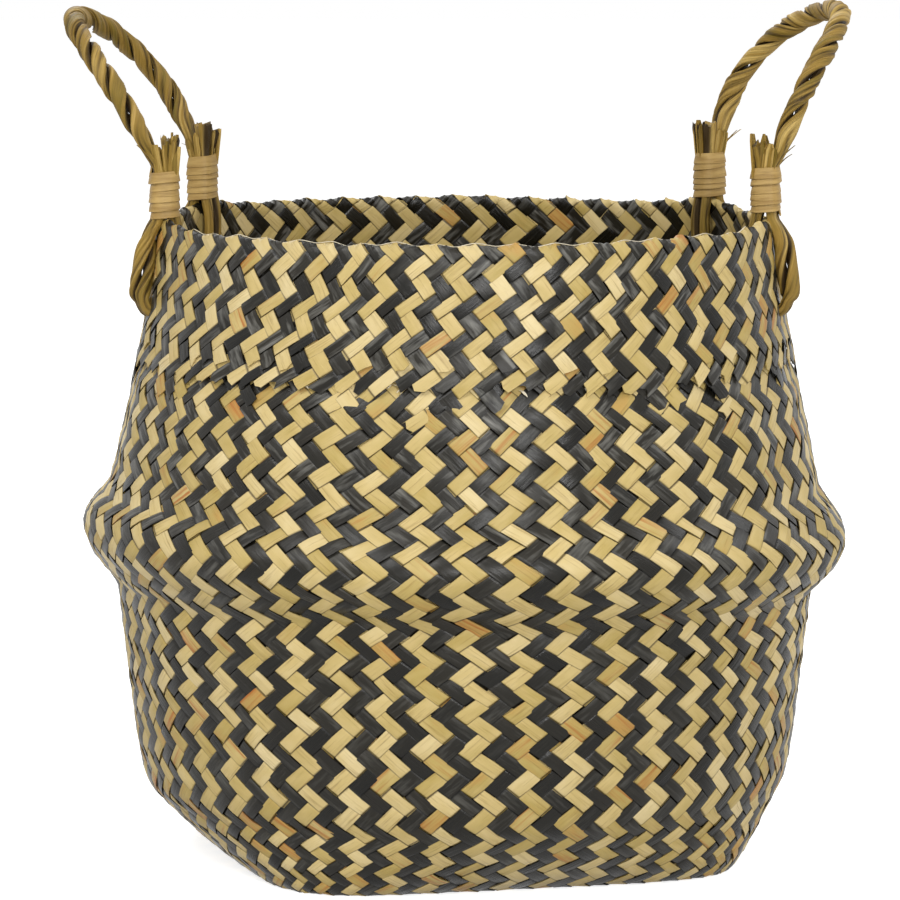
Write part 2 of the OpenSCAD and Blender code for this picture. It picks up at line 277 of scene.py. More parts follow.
class Expr:
    """A number socket that takes part in Python arithmetic."""

    def __init__(self, sheet: "Sheet", socket: bpy.types.NodeSocket) -> None:
        """Keep the material's sheet and the socket."""
        self.sheet = sheet
        self.socket = socket

    def _math(self, operation: str, first: Value, second: Value) -> "Expr":
        """Add one Math node."""
        node = self.sheet.node("ShaderNodeMath", {"operation": operation}, {0: first, 1: second})
        return Expr(self.sheet, node.outputs[0])

    def __add__(self, other: Value) -> "Expr":
        """Add."""
        return self._math("ADD", self, other)

    def __radd__(self, other: Value) -> "Expr":
        """Add, reflected."""
        return self._math("ADD", other, self)

    def __sub__(self, other: Value) -> "Expr":
        """Subtract."""
        return self._math("SUBTRACT", self, other)

    def __rsub__(self, other: Value) -> "Expr":
        """Subtract, reflected."""
        return self._math("SUBTRACT", other, self)

    def __mul__(self, other: Value) -> "Expr":
        """Multiply."""
        return self._math("MULTIPLY", self, other)

    def __rmul__(self, other: Value) -> "Expr":
        """Multiply, reflected."""
        return self._math("MULTIPLY", other, self)

    def above(self, level: Value) -> "Expr":
        """Give the part above a level, and 0 below it."""
        return self._math("MAXIMUM", self._math("SUBTRACT", self, level), 0.0)

    def past(self, level: Value, gain: float) -> "Expr":
        """Rise from 0 at a level, by a gain, to 1 at most."""
        return (self.above(level) * gain).limited()

    def limited(self) -> "Expr":
        """Keep between 0 and 1."""
        return self._math("MINIMUM", self._math("MAXIMUM", self, 0.0), 1.0)


class Sheet:
    """The node sheet of one material."""

    def __init__(self, name: str, tree: Optional[bpy.types.NodeTree] = None) -> None:
        """Start an empty sheet, with a Principled shader where it is a material's.

        Args:
            name: Name of the material.
            tree: The world's nodes, where the sheet is the world's and not a material's.
        """
        if tree is not None:
            self.tree = tree
            self.tree.nodes.clear()
            self.output = self.tree.nodes.new("ShaderNodeOutputWorld")
            return
        self.material = bpy.data.materials.new(name)
        self.material.use_nodes = True
        self.tree = self.material.node_tree
        self.tree.nodes.clear()
        self.output = self.tree.nodes.new("ShaderNodeOutputMaterial")
        self.shader = self.tree.nodes.new("ShaderNodeBsdfPrincipled")
        self.tree.links.new(self.shader.outputs[0], self.output.inputs["Surface"])

    def feed(self, socket: bpy.types.NodeSocket, value: Any) -> None:
        """Link a socket to an expression or node, or set its value."""
        if isinstance(value, Expr):
            self.tree.links.new(value.socket, socket)
        elif isinstance(value, bpy.types.Node):
            self.tree.links.new(value.outputs[0], socket)
        elif isinstance(value, bpy.types.NodeSocket):
            self.tree.links.new(value, socket)
        else:
            socket.default_value = value

    def node(self, kind: str, settings: Optional[Dict[str, Any]] = None,
             inputs: Optional[Dict[Any, Any]] = None) -> bpy.types.Node:
        """Add one node.

        Args:
            kind: Blender's name of the node type.
            settings: Its settings, set first. A list of stops makes a ramp.
            inputs: Values or links of its sockets, by name or number.

        Returns:
            The new node.
        """
        node = self.tree.nodes.new(kind)
        for key, value in (settings or {}).items():
            if key == "stops":
                while len(node.color_ramp.elements) < len(value):
                    node.color_ramp.elements.new(0.5)
                for element, (place, colour) in zip(node.color_ramp.elements, value):
                    element.position = place
                    element.color = colour
            else:
                setattr(node, key, value)
        for key, value in (inputs or {}).items():
            self.feed(node.inputs[key], value)
        return node

    def attribute(self, name: str) -> Expr:
        """Read one of the piece's own number attributes."""
        node = self.node("ShaderNodeAttribute", {"attribute_name": name})
        return Expr(self, node.outputs["Fac"])

    def painted_shade(self) -> Expr:
        """Give the painted shade where a strip dips under another, and along its edges."""
        return (self.attribute("sunk") + self.attribute("edge") * 0.7).limited()

    def noise(self, vector: bpy.types.Node, detail: float = 3, roughness: float = 0.55) -> Expr:
        """Add noise at the vector's own scale."""
        node = self.node("ShaderNodeTexNoise", inputs={
            "Vector": vector, "Scale": 1.0, "Detail": detail, "Roughness": roughness})
        return Expr(self, node.outputs[0])

    def fibres(self, across: float, along: float, shift: Value = 0.0, detail: float = 3,
               roughness: float = 0.55) -> Expr:
        """Add noise on the UV map, stretched along the fibres.

        Args:
            across: Pattern scale across the strip, per metre.
            along: Pattern scale along the strip, per metre.
            shift: A number that moves the pattern from piece to piece.
            detail: Detail of the noise.
            roughness: Roughness of the noise.

        Returns:
            The noise.
        """
        uv = self.node("ShaderNodeUVMap", {"uv_map": "UVMap"})
        parts = self.node("ShaderNodeSeparateXYZ", inputs={0: uv})
        vector = self.node("ShaderNodeCombineXYZ", inputs={
            0: Expr(self, parts.outputs[0]) * across,
            1: Expr(self, parts.outputs[1]) * along,
            2: shift})
        return self.noise(vector, detail, roughness)

    def mirrored(self) -> Expr:
        """Tell the rays that show the surround in a gloss or through glass."""
        rays = self.node("ShaderNodeLightPath")
        return (Expr(self, rays.outputs["Is Glossy Ray"])
                + Expr(self, rays.outputs["Is Transmission Ray"])).limited()

    def direct(self) -> Expr:
        """Tell the camera's own rays."""
        return Expr(self, self.node("ShaderNodeLightPath").outputs["Is Camera Ray"])

    def blend(self, share: Value, low: Any, high: Any) -> bpy.types.NodeSocket:
        """Mix two colours by a share."""
        node = self.node("ShaderNodeMix", {"data_type": "RGBA"}, {0: share, 6: low, 7: high})
        return node.outputs[2]

    def ramp(self, share: Value, stops: Sequence[Tuple[float, Colour]]) -> bpy.types.NodeSocket:
        """Turn a number into a colour by stops."""
        node = self.node("ShaderNodeValToRGB", {"stops": list(stops)}, {0: share})
        return node.outputs[0]

    def finish(self, colour: Any, roughness: Value, height: Expr, depth: float,
               **constants: float) -> bpy.types.Material:
        """Feed the shader and give the material.

        Args:
            colour: Base colour.
            roughness: Roughness.
            height: Height pattern for the bump.
            depth: Bump distance in metres.
            **constants: Values of other shader sockets, with spaces as underscores.

        Returns:
            The finished material.
        """
        bump = self.node("ShaderNodeBump", inputs={
            "Strength": 1.0, "Distance": depth, "Height": height})
        self.feed(self.shader.inputs["Base Color"], colour)
        self.feed(self.shader.inputs["Roughness"], roughness)
        self.feed(self.shader.inputs["Normal"], bump)
        for key, value in constants.items():
            self.shader.inputs[key.replace("_", " ")].default_value = value
        return self.material


# ---- Finishes -------------------------------------------------------------------------------


@dataclass(frozen=True)
class NaturalStrip:
    """Dry undyed leaf: straw with fine fibre lines and now and then a rust-coloured streak."""

    pale: Colour = srgb(226, 206, 155)
    straw: Colour = srgb(208, 184, 122)
    olive: Colour = srgb(184, 160, 90)
    amber: Colour = srgb(190, 148, 78)
    fibre: Colour = srgb(126, 90, 34)
    rust: Colour = srgb(172, 92, 22)
    # Colour of the painted shade where strips dip under each other and along their edges.
    shade: Colour = srgb(46, 32, 8)
    rusty_share: float = 0.13

    def make(self) -> bpy.types.Material:
        """Build the material."""
        sheet = Sheet("natural_strip")
        tone = sheet.attribute("strip_tone")
        patch = sheet.attribute("float_tone")
        fine = sheet.fibres(1350, 55, tone * 40.0, 5, 0.7)
        broad = sheet.fibres(620, 26, tone * 70.0 + 3.0)
        cloud = sheet.fibres(190, 80, tone * 20.0 + 9.0, 2)
        base = sheet.ramp((tone * 0.4 + patch * 0.55 + cloud * 0.7 - 0.32).limited(), [
            (0.0, self.amber), (0.22, self.olive), (0.58, self.straw), (1.0, self.pale)])
        lined = sheet.blend((fine.above(0.55) * 5.0 + broad.above(0.6) * 3.0).limited() * 0.66,
                            base, self.fibre)
        rusty = broad.past(0.48, 5.0) * (self.rusty_share - patch).past(0.0, 20.0) * 0.75
        colour = sheet.blend(rusty, lined, self.rust)
        # Painted shade where the strip dips under its neighbour and along its edges.
        colour = sheet.blend(sheet.painted_shade() * 0.92, colour, self.shade)
        return sheet.finish(colour, fine * 0.25 + 0.38, fine * 0.6 + broad * 0.9, 0.0003,
                            Specular_IOR_Level=0.4)


@dataclass(frozen=True)
class BlackStrip:
    """Dyed leaf: charcoal with worn fibre lines and a painted grey sheen in streaks."""

    deep: Colour = srgb(15, 14, 9)
    charcoal: Colour = srgb(38, 34, 25)
    worn: Colour = srgb(112, 104, 88)
    # Colour of the painted highlight streaks.
    sheen: Colour = srgb(152, 150, 142)
    # Colour of the painted shade where strips dip under each other and along their edges.
    shade: Colour = srgb(8, 7, 4)
    sheen_from: float = 0.11    # Metres above the floor from which the painted sheen is brighter

    def make(self) -> bpy.types.Material:
        """Build the material."""
        sheet = Sheet("black_strip")
        tone = sheet.attribute("strip_tone")
        patch = sheet.attribute("float_tone")
        fine = sheet.fibres(1500, 60, tone * 50.0, 5, 0.7)
        broad = sheet.fibres(620, 25, tone * 30.0 + 5.0)
        # Streaks of painted highlight along the fibres.
        glow = sheet.fibres(520, 75, tone * 90.0 + 2.0)
        speck = sheet.fibres(1500, 900, tone * 10.0 + 1.0, 2)
        base = sheet.blend((tone * 0.5 + patch * 0.5 + broad * 0.5 - 0.25).limited(),
                           self.deep, self.charcoal)
        worn = (fine.above(0.58) * 3.0 + speck.above(0.72) * 5.0).limited() * 0.35
        colour = sheet.blend(worn, base, self.worn)
        place = sheet.node("ShaderNodeSeparateXYZ", inputs={
            0: sheet.node("ShaderNodeTexCoord").outputs["Object"]})
        # Painted highlight: the streaks are brighter higher up the wall.
        high = Expr(sheet, place.outputs[2]).past(self.sheen_from, 14.0) * 0.7 + 0.3
        painted_sheen = glow.past(0.48, 3.6) * patch.past(0.25, 2.0) * high * 0.66
        colour = sheet.blend(painted_sheen, colour, self.sheen)
        # Painted shade where the strip dips under its neighbour and along its edges.
        colour = sheet.blend(sheet.painted_shade() * 0.85, colour, self.shade)
        rough = patch * 0.14 + fine * 0.25 + 0.14
        return sheet.finish(colour, rough, fine * 0.6 + broad, 0.00025, Specular_IOR_Level=0.3)


@dataclass(frozen=True)
class RopeLeaf:
    """Twisted leaf of the handles: olive tan with painted shade in creases between its folds."""

    light: Colour = srgb(224, 192, 114)
    tan: Colour = srgb(160, 128, 56)
    green: Colour = srgb(116, 98, 32)
    line_and_crease_shade: Colour = srgb(42, 26, 4)
    rust: Colour = srgb(140, 80, 30)

    def make(self) -> bpy.types.Material:
        """Build the material."""
        sheet = Sheet("rope_leaf")
        tone = sheet.attribute("strip_tone")
        groove = sheet.attribute("groove")
        fine = sheet.fibres(1500, 45, tone * 33.0, 5, 0.66)
        broad = sheet.fibres(420, 24, tone * 17.0 + 4.0)
        base = sheet.ramp((broad * 2.0 + tone * 0.3 - 0.68).limited(), [
            (0.0, self.green), (0.5, self.tan), (1.0, self.light)])
        lined = sheet.blend(fine.past(0.53, 5.0) * 0.62, base, self.line_and_crease_shade)
        streak = broad.past(0.66, 9.0) * 0.6
        colour = sheet.blend(streak, lined, self.rust)
        # Painted shade in the fold creases and where the two plies meet.
        colour = sheet.blend(groove * 0.95, colour, self.line_and_crease_shade)
        return sheet.finish(colour, fine * 0.25 + 0.4, fine + broad - groove * 0.6, 0.0006,
                            Specular_IOR_Level=0.28)


@dataclass(frozen=True)
class BindingStrip:
    """Flat pale leaf wound round the legs."""

    tan: Colour = srgb(152, 120, 62)
    pale: Colour = srgb(192, 160, 96)
    line: Colour = srgb(84, 56, 18)

    def make(self) -> bpy.types.Material:
        """Build the material."""
        sheet = Sheet("binding_leaf")
        fine = sheet.fibres(1100, 40, 0.0, 5, 0.7)
        broad = sheet.fibres(500, 60, 6.0)
        base = sheet.blend((broad * 2.4 - 0.7).limited(), self.tan, self.pale)
        colour = sheet.blend(fine.past(0.56, 5.0) * 0.65, base, self.line)
        return sheet.finish(colour, fine * 0.2 + 0.42, fine * 0.7 + broad * 0.6, 0.00025,
                            Specular_IOR_Level=0.4)


@dataclass(frozen=True)
class TornFibre:
    """Bare leaf of the torn bits and the rim's thin thread, paler than its skin."""

    bare: Colour = srgb(236, 230, 214)
    worn: Colour = srgb(206, 190, 154)

    def make(self) -> bpy.types.Material:
        """Build the material."""
        sheet = Sheet("torn_fibre")
        fine = sheet.fibres(1500, 60)
        colour = sheet.blend((fine * 2.0 - 0.6).limited(), self.worn, self.bare)
        return sheet.finish(colour, 0.7, fine, 0.0001, Specular_IOR_Level=0.3)


# ---- Form of the basket ---------------------------------------------------------------------


@dataclass
class BasketForm:
    """Sizes of the woven body in mm, the same as the solids'."""

    height: float = 250
    rim_r: float = 122
    shoulder_h: float = 28
    shoulder_r: float = 125.5
    base_half: float = 92
    base_corner_r: float = 115
    base_turn: float = 14
    crease_z: float = 108
    crease_r: float = 138
    ridge_z: float = 130
    ridge_r: float = 151
    neck_z: float = 152
    neck_r: float = 139.5
    lower_power: float = 0.6
    side_power: float = 0.77
    corner_power: float = 0.5
    upper_swell: float = 0.08
    rim_top: float = 251.7

    def wall_r(self, z: Array) -> Array:
        """Give the outer radius of the round wall at each height."""
        z = np.asarray(z, float)
        lower = mix(self.shoulder_r, self.crease_r, np.clip(
            (z - self.shoulder_h) / (self.crease_z - self.shoulder_h), 0, 1) ** self.lower_power)
        under = mix(self.crease_r, self.ridge_r, np.sin(
            np.pi / 2 * (z - self.crease_z) / (self.ridge_z - self.crease_z)))
        over = mix(self.ridge_r, self.neck_r, (1 - np.cos(
            np.pi * (z - self.ridge_z) / (self.neck_z - self.ridge_z))) / 2)
        k = (z - self.neck_z) / (self.height - self.neck_z)
        upper = mix(self.neck_r, self.rim_r, k + self.upper_swell * np.sin(np.pi * k))
        return np.select([z <= self.crease_z, z <= self.ridge_z, z <= self.neck_z],
                         [lower, under, over], upper)

    def squared_r(self, k: Array, bearing: Array) -> Array:
        """Give the base's outer radius.

        Args:
            k: Share of the way from the floor, 0, to the shoulder, 1.
            bearing: Degrees from the front.

        Returns:
            Radius in mm.
        """
        k = np.clip(k, 0, 1)
        side = mix(self.base_half, self.shoulder_r, k ** self.side_power)
        corner = mix(self.base_corner_r, self.shoulder_r, k ** self.corner_power)
        power = 1 / (0.5 - np.log2(corner / side))
        turn = np.radians(bearing - self.base_turn)
        spread = np.abs(np.cos(turn)) ** power + np.abs(np.sin(turn)) ** power
        return side / spread ** (1 / power)


@dataclass
class WeavePlan:
    """Where each crossing of the strips lies.

    A crossing has an address: steps round the basket, 200 in all, and rows up it. Row 1 is the
    edge of the base, and lower rows are on the base. At the rim row the strips fold outwards,
    and the rows above it run back down the outside, over the wall.
    """

    form: BasketForm = field(default_factory=BasketForm)
    steps: int = 200
    rim_row: int = 79
    shoulder_row: float = 12.9
    base_side: float = 91
    mid_depth: float = 0.9
    inner_depth: float = 2.8
    outer_depth: float = 0.7
    fold_h: float = 1.6         # Height of the fold over the rim
    turned_len: float = 56
    in_out: float = 0.55        # Share of the slow unevenness that goes in and out
    mean_r: float = 140         # Radius at which a shift sideways is turned into a bearing
    held_rows: float = 10       # Rows over which the unevenness starts above the base
    rim_calm: float = 0.8
    calm_len: float = 8
    scallop: float = 1.1
    scallop_len: float = 5
    ridge_dip: float = 3.0
    dip_len: float = 32
    flare_power: float = 1.15
    legs: Tuple[float, ...] = (-118, -78, 78, 124)
    leg_lift: float = 2.6
    leg_reach: float = 11       # Degrees to each side of a leg
    pull_len: float = 30
    drift_size: float = 1.0
    seed: int = 5

    def __post_init__(self) -> None:
        """Work out the tables of arc length, rows and drift."""
        self.fold_r = (self.inner_depth - self.outer_depth) / 2
        rng = np.random.default_rng(self.seed)
        # Slow waves of the weave: times round the basket, waves per row, phase and size in mm
        self.waves = [(int(rng.integers(2, 22)), rng.uniform(-0.035, 0.035), rng.uniform(0, PHASE),
                       self.drift_size * rng.uniform(0.25, 0.6)) for _ in range(21)]
        heights = np.linspace(self.form.rim_top, self.form.shoulder_h, 900)
        radii = self.form.wall_r(heights)
        arcs = np.concatenate([[0], np.cumsum(np.hypot(np.diff(heights), np.diff(radii)))])
        self.arc_table, self.height_table = arcs, heights
        # Arc below the rim in mm, then the row, the drift of the steps and their crowding there
        wall = np.array([
            (0, 79, 18.8, -0.05), (54, 64.3, 18.8, -0.02), (74, 58.5, 18.9, 0),
            (94, 53, 19.05, 0), (114, 47.2, 19.1, 0), (134, 41.6, 18.85, 0.01),
            (154, 35.5, 18.45, 0.04), (174, 29.4, 18.05, 0.065), (194, 23.7, 17.85, 0.065),
            (214, 18.3, 17.5, 0.065), (arcs[-1], self.shoulder_row, 17.2, 0.065)])
        self.wall_rows = through(wall, 6)
        turned = np.array([
            (0, 79, 18.8, -0.05), (14, 75.3, 19.35, -0.07), (34, 69.7, 20.95, -0.05),
            (54, 64.25, 22.35, 0), (72, 59.3, 23.5, 0)])
        self.turned_rows = through(turned, 6)

    def arc(self, row: Array) -> Array:
        """Give the arc from the rim, negative on the wall and positive on the turned layer."""
        wall = -np.interp(-row, -self.wall_rows[:, 1], self.wall_rows[:, 0])
        back = 2 * self.rim_row - row
        turned = np.interp(-back, -self.turned_rows[:, 1], self.turned_rows[:, 0])
        return np.where(row <= self.rim_row, wall, turned)

    def bearing(self, step: Array, row: Array, arc: Array) -> Array:
        """Give the bearing of each address in degrees."""
        on_wall = row <= self.rim_row
        drift, crowd = (np.where(
            on_wall, np.interp(-arc, self.wall_rows[:, 0], self.wall_rows[:, column]),
            np.interp(arc, self.turned_rows[:, 0], self.turned_rows[:, column]))
            for column in (2, 3))
        even = (step - drift) * 360 / self.steps
        even = even + np.degrees(crowd) * np.sin(np.radians(even))
        quarter = self.steps / 4
        side = np.floor(step / quarter)
        within = (step - side * quarter) / (quarter / 2) - 1
        square = self.form.base_turn + 90 * side + np.degrees(np.arctan(within))
        return mix(even, square, 1 - smoothstep(1, self.shoulder_row, row))

    def point(self, side: Array, step: Array, row: Array) -> Array:
        """Place addresses on the middle of the woven layer.

        Args:
            side: Side of the base that each address is counted from.
            step: Steps round.
            row: Rows up.

        Returns:
            Points in mm.
        """
        arc = self.arc(row)
        bearing = self.bearing(step, row, arc)
        below = np.abs(arc)
        quarter_arc = self.fold_r * np.pi / 2
        height = np.interp(below + self.fold_h - quarter_arc, self.arc_table,
                           self.height_table)
        under = smoothstep(self.turned_len + 10, self.turned_len - 2, below)
        depth = np.where(row <= self.rim_row,
                         mix(self.mid_depth, self.inner_depth, under), self.outer_depth)
        turn = np.clip(arc / self.fold_r, -np.pi / 2, np.pi / 2)
        fold = below < quarter_arc
        fold_z = self.form.rim_top - self.fold_h
        height = np.where(fold, fold_z + self.fold_r * np.cos(turn), height)
        depth = np.where(fold, (self.inner_depth + self.outer_depth) / 2
                         - self.fold_r * np.sin(turn), depth)
        radius = self.form.wall_r(height) - depth
        lean = np.radians(bearing)
        held = smoothstep(self.shoulder_row, self.shoulder_row + self.held_rows, row)
        real_row = self.rim_row - np.abs(row - self.rim_row)
        radius = radius + self.in_out * held * self.slow(step, real_row, 0)
        bearing = bearing + held * np.degrees(self.slow(step, real_row, 1) / self.mean_r)
        calm = 1 - self.rim_calm * np.exp(-below / self.calm_len)
        height = height + held * calm * self.slow(step, real_row, 2)
        height = height - self.ridge_dip * np.sin(lean) * np.exp(
            -((height - self.form.ridge_z) / self.dip_len) ** 2)
        height = height - self.scallop * np.exp(-below / self.scallop_len) * (
            0.5 - 0.5 * np.cos(np.pi * (step - row + self.rim_row) / 2))
        height = height + self.leg_pull(bearing) * np.exp(-(below / self.pull_len) ** 2)
        share = np.clip((row - 1) / (self.shoulder_row - 1), 0, 1)
        low_z = mix(self.mid_depth, self.form.shoulder_h, share ** self.flare_power)
        flare = self.form.squared_r(low_z / self.form.shoulder_h, bearing) - self.mid_depth
        low = row < self.shoulder_row
        wall = polar(bearing, np.where(low, flare, radius), 0, np.where(low, low_z, height))
        return np.where((row < 1)[..., None], self.floor(side, step, row), wall)

    def slow(self, step: Array, row: Array, first: int) -> Array:
        """Give one of the weave's three slow unevennesses, in mm."""
        return sum(size * np.sin(2 * np.pi * (times * step / self.steps + rate * row) + phase)
                   for times, rate, phase, size in self.waves[first::3])

    def leg_pull(self, bearing: Array) -> Array:
        """Give how far the rope's legs pull the rim up at each bearing."""
        pull = np.zeros_like(bearing)
        for leg in self.legs:
            away = (bearing - leg + 180) % 360 - 180
            pull = np.maximum(pull, np.exp(-(away / self.leg_reach) ** 2))
        return self.leg_lift * pull

    def floor(self, side: Array, step: Array, row: Array) -> Array:
        """Place addresses on the flat base, squeezed from a square into its rounded form."""
        pitch = self.base_side / (self.steps / 8)
        middle = side * self.steps / 4 + self.steps / 8
        turn = self.form.base_turn + 90 * side
        flat = polar(turn, self.base_side + (row - 1) * pitch, (step - middle) * pitch, 0)
        x, y = flat[..., 0], flat[..., 1]
        bearing = np.degrees(np.arctan2(x, -y))
        near = np.radians((bearing - self.form.base_turn + 45) % 90 - 45)
        reach = np.hypot(x, y)
        edge = self.base_side / np.cos(near)
        share = np.clip(reach / edge, 0, 1.2)
        wanted = self.form.squared_r(np.full_like(x, self.mid_depth / self.form.shoulder_h),
                                     bearing) - self.mid_depth
        scale = 1 + (wanted / edge - 1) * share ** 2
        return np.stack([x * scale, y * scale, np.full_like(x, self.mid_depth)], -1)

    def normal(self, side: Array, step: Array, row: Array) -> Array:
        """Give the outward direction at each address."""
        little = 0.04    # Steps or rows to each side
        round_way = self.point(side, step + little, row) - self.point(side, step - little, row)
        upward = self.point(side, step, row + little) - self.point(side, step, row - little)
        return unit(np.cross(round_way, upward))


class Tone(Enum):
    """Colour of a strip."""

    NATURAL = "natural"
    BLACK = "black"


@dataclass
class WovenBody:
    """All the strips of the body, each one band from rim to rim.

    Thickness, lift, crown and tilt are in mm; half-widths, wander and jog are in cells.
    """

    plan: WeavePlan = field(default_factory=WeavePlan)
    strips: int = 100
    cell: float = 5.15          # One step of the weave, in mm
    thickness: float = 0.42
    lift: float = 0.31
    crown: float = 0.05
    natural_half: float = 0.52
    black_half: float = 0.49
    wander: float = 0.035
    jog: float = 0.035          # Sideways jump from one float to the next, in cells
    tilt: float = 0.19
    sway_rates: Tuple[float, float] = (0.31, 0.83)
    width_rate: float = 0.57
    width_spread: float = 0.04
    lifts: Tuple[float, float] = (0.78, 1.25)
    covered_row: int = 61       # Wall rows from here to the rim lie under the turned layer
    covered_lift: float = 0.72
    floor_gap: float = 0.02
    sunk_reach: float = 0.35
    crossing: Tuple[float, ...] = (0.3, 0.39, 0.5, 0.61, 0.7)   # Places between two nodes
    passing: Tuple[float, float] = (1.4, 1.1)       # Wave at the first two of these places
    lone_wave: float = 1.7
    end_wave: float = 1.5
    float_wave: float = 1.8
    rim_reach: float = 0.62
    rim_rings: int = 11
    across: Tuple[float, ...] = (-1, -0.92, 0, 0.92, 1.0)
    thick: Tuple[float, ...] = (0.4, 0.48, 0.5, 0.48, 0.4)
    edges: Tuple[float, ...] = (1.0, 0, 0, 0, 1.0)
    trims: Tuple[int, int] = (64, 66)       # Rows back from twice the rim row, at each end
    long_shares: Tuple[float, float] = (0.08, 0.25)     # Of the strips, one float longer there
    float_rows: int = 4
    ragged: Tuple[float, float] = (-0.35, 0.15)
    thread_r: float = 0.19
    thread_uv: float = 0.0002
    torn_at: Tuple[float, ...] = (15.3, 18.8, 23.3)     # Steps at which torn bits stand
    torn_more: int = 22
    seed: int = 119

    def over(self, row: Array) -> Array:
        """Tell on which side the up-left strip of a row lies, 1 outside and -1 inside.

        On the turned layer the sign is swapped, because that layer's outside faces its core.
        """
        wall = np.where(row % 4 < 2, 1, -1)
        turned = np.where((2 * self.plan.rim_row - row) % 4 < 2, -1, 1)
        return np.where(row < self.plan.rim_row, wall, turned)

    def route(self, number: int) -> Tuple[Array, Array, Array, Array, Array]:
        """Follow one strip from rim to rim.

        Args:
            number: The strip's number, from 1 to 100.

        Returns:
            Side, step, row, side shift of the step, and sign at each crossing.
        """
        quarter = self.strips // 4
        side = (number - 1) // quarter
        lowest = number - quarter * (side + 1) + 1
        first, last = self.ends[number - 1]
        down = np.arange(first, lowest - 1, -1)
        up = np.arange(lowest, last + 1)
        partner = number - 2 * quarter * (side + 1)
        sides = np.concatenate([np.full(len(down), side), np.full(len(up), side + 1)])
        steps = np.concatenate([2 * number - down, up - 2 * partner])
        rows = np.concatenate([down, up])
        shift = np.concatenate([np.ones(len(down)), -np.ones(len(up))])
        signs = np.concatenate([self.over(down), -self.over(up)])
        return sides, steps, rows, shift, signs

    def samples(self, rows: Array, signs: Array) -> Tuple[Array, Array]:
        """Choose where along a strip its rings stand, and each ring's height in the weave."""
        places: List[float] = []
        waves: List[float] = []
        for k in range(len(rows)):
            ahead = signs[k + 1] if k + 1 < len(rows) else signs[k]
            behind = signs[k - 1] if k else signs[k]
            lone = ahead != signs[k] and behind != signs[k]
            if lone or k in (0, len(rows) - 1):
                places.append(k)
                waves.append(signs[k] * (self.lone_wave if lone else self.end_wave))
            if k + 1 == len(rows):
                break
            if ahead != signs[k]:
                outer, inner = self.passing
                places += [k + share for share in self.crossing]
                waves += [signs[k] * outer, signs[k] * inner, 0, ahead * inner, ahead * outer]
            else:
                places.append(k + 0.5)
                waves.append(signs[k] * self.float_wave)
        rim = [k for k in range(len(rows)) if rows[k] == self.plan.rim_row]
        extra = np.concatenate([
            k + np.linspace(-self.rim_reach, self.rim_reach, self.rim_rings) for k in rim])
        all_places = np.unique(np.round(np.concatenate([places, extra]), 4))
        return all_places, np.interp(all_places, places, waves)

    def strip(self, number: int, rng: np.random.Generator) -> Dict[str, Array]:
        """Make one strip as a closed band.

        Args:
            number: The strip's number, from 1 to 100.
            rng: Source of the strip's small irregularities.

        Returns:
            Points, UV, tones and quads.
        """
        sides, steps, rows, shift, signs = self.route(number)
        places, wave = self.samples(rows, signs)
        index = np.arange(len(rows))
        node = np.clip(np.floor(places + 0.5).astype(int), 0, len(rows) - 1)
        base_step = steps[node] + (places - node)
        slope = np.where(shift > 0, -1, 1)
        base_row = rows[node] + (places - node) * slope[node]
        phase = rng.uniform(0, PHASE, 3)
        sway = self.wander * (np.sin(places * self.sway_rates[0] + phase[0])
                              + np.sin(places * self.sway_rates[1] + phase[1]))
        floats = np.cumsum(np.concatenate([[0], (np.diff(signs) != 0)]))
        sway = sway + np.interp(places, index, rng.normal(0, self.jog, floats[-1] + 1)[floats])
        wide = (self.natural_half if number % 2 == 0 else self.black_half) * (
            1 - self.width_spread * rng.random()
            + self.width_spread * np.sin(places * self.width_rate + phase[2]))
        wave = wave * np.interp(places, index, rng.uniform(*self.lifts, len(rows)))
        tip = rng.normal(0, self.tilt, floats[-1] + 1)[floats]
        tones = rng.random(floats[-1] + 1)[floats]
        lean = np.interp(places, index, tip)
        across = np.array(self.across)
        lateral = sway[:, None] + wide[:, None] * across[None, :]
        ragged = np.zeros_like(lateral)
        low, high = self.ragged
        ragged[0] = rng.uniform(low, high, len(across))
        ragged[-1] = rng.uniform(-high, -low, len(across))
        step = base_step[:, None] + lateral * shift[node][:, None] + ragged
        row = base_row[:, None] + lateral + ragged * slope[node][:, None]
        side = np.broadcast_to(sides[node][:, None], step.shape)
        middle = self.plan.point(side, step, row)
        normal = self.plan.normal(side, step, row)
        dome = self.crown * (1 - across ** 2)
        covered = (row < self.plan.rim_row) & (row > self.covered_row)
        height = wave[:, None] * self.lift * np.where(covered, self.covered_lift, 1)
        height = height + lean[:, None] * across[None, :]
        thick = self.thickness * np.array(self.thick)
        upper = middle + normal * (height + thick + dome)[..., None]
        under = middle + normal * (height - thick - dome * 0.5)[..., None]
        ring = np.concatenate([upper, under[:, ::-1]], axis=1)
        ring[..., 2] = np.maximum(ring[..., 2], self.floor_gap)
        count, around = ring.shape[:2]
        u = np.concatenate([lateral, lateral[:, ::-1]], axis=1) * self.cell * MM
        v = np.repeat(places[:, None] * self.cell * MM + rng.random() * 3, around, axis=1)
        # Masks for the painted shade: sunk where the strip dips under its neighbour, edge along
        # its two sides.
        sunk = np.clip(1 - np.abs(wave) / self.sunk_reach, 0, 1)
        return {
            "points": ring.reshape(-1, 3), "uv": np.stack([u.ravel(), v.ravel()], -1),
            "quads": closed_skin(count, around), "edge": np.tile(np.tile(self.edges, 2), count),
            "sunk": np.repeat(sunk, around),
            "strip_tone": np.full(count * around, rng.random()),
            "float_tone": np.repeat(tones[node], around)}

    def choose_ends(self, rng: np.random.Generator) -> None:
        """Choose the row at which each end of each strip is trimmed, after its last float."""
        back = 2 * self.plan.rim_row
        self.ends = [[back - trim + (self.float_rows if rng.random() < share else 0)
                      for trim, share in zip(self.trims, self.long_shares)]
                     for _ in range(self.strips)]

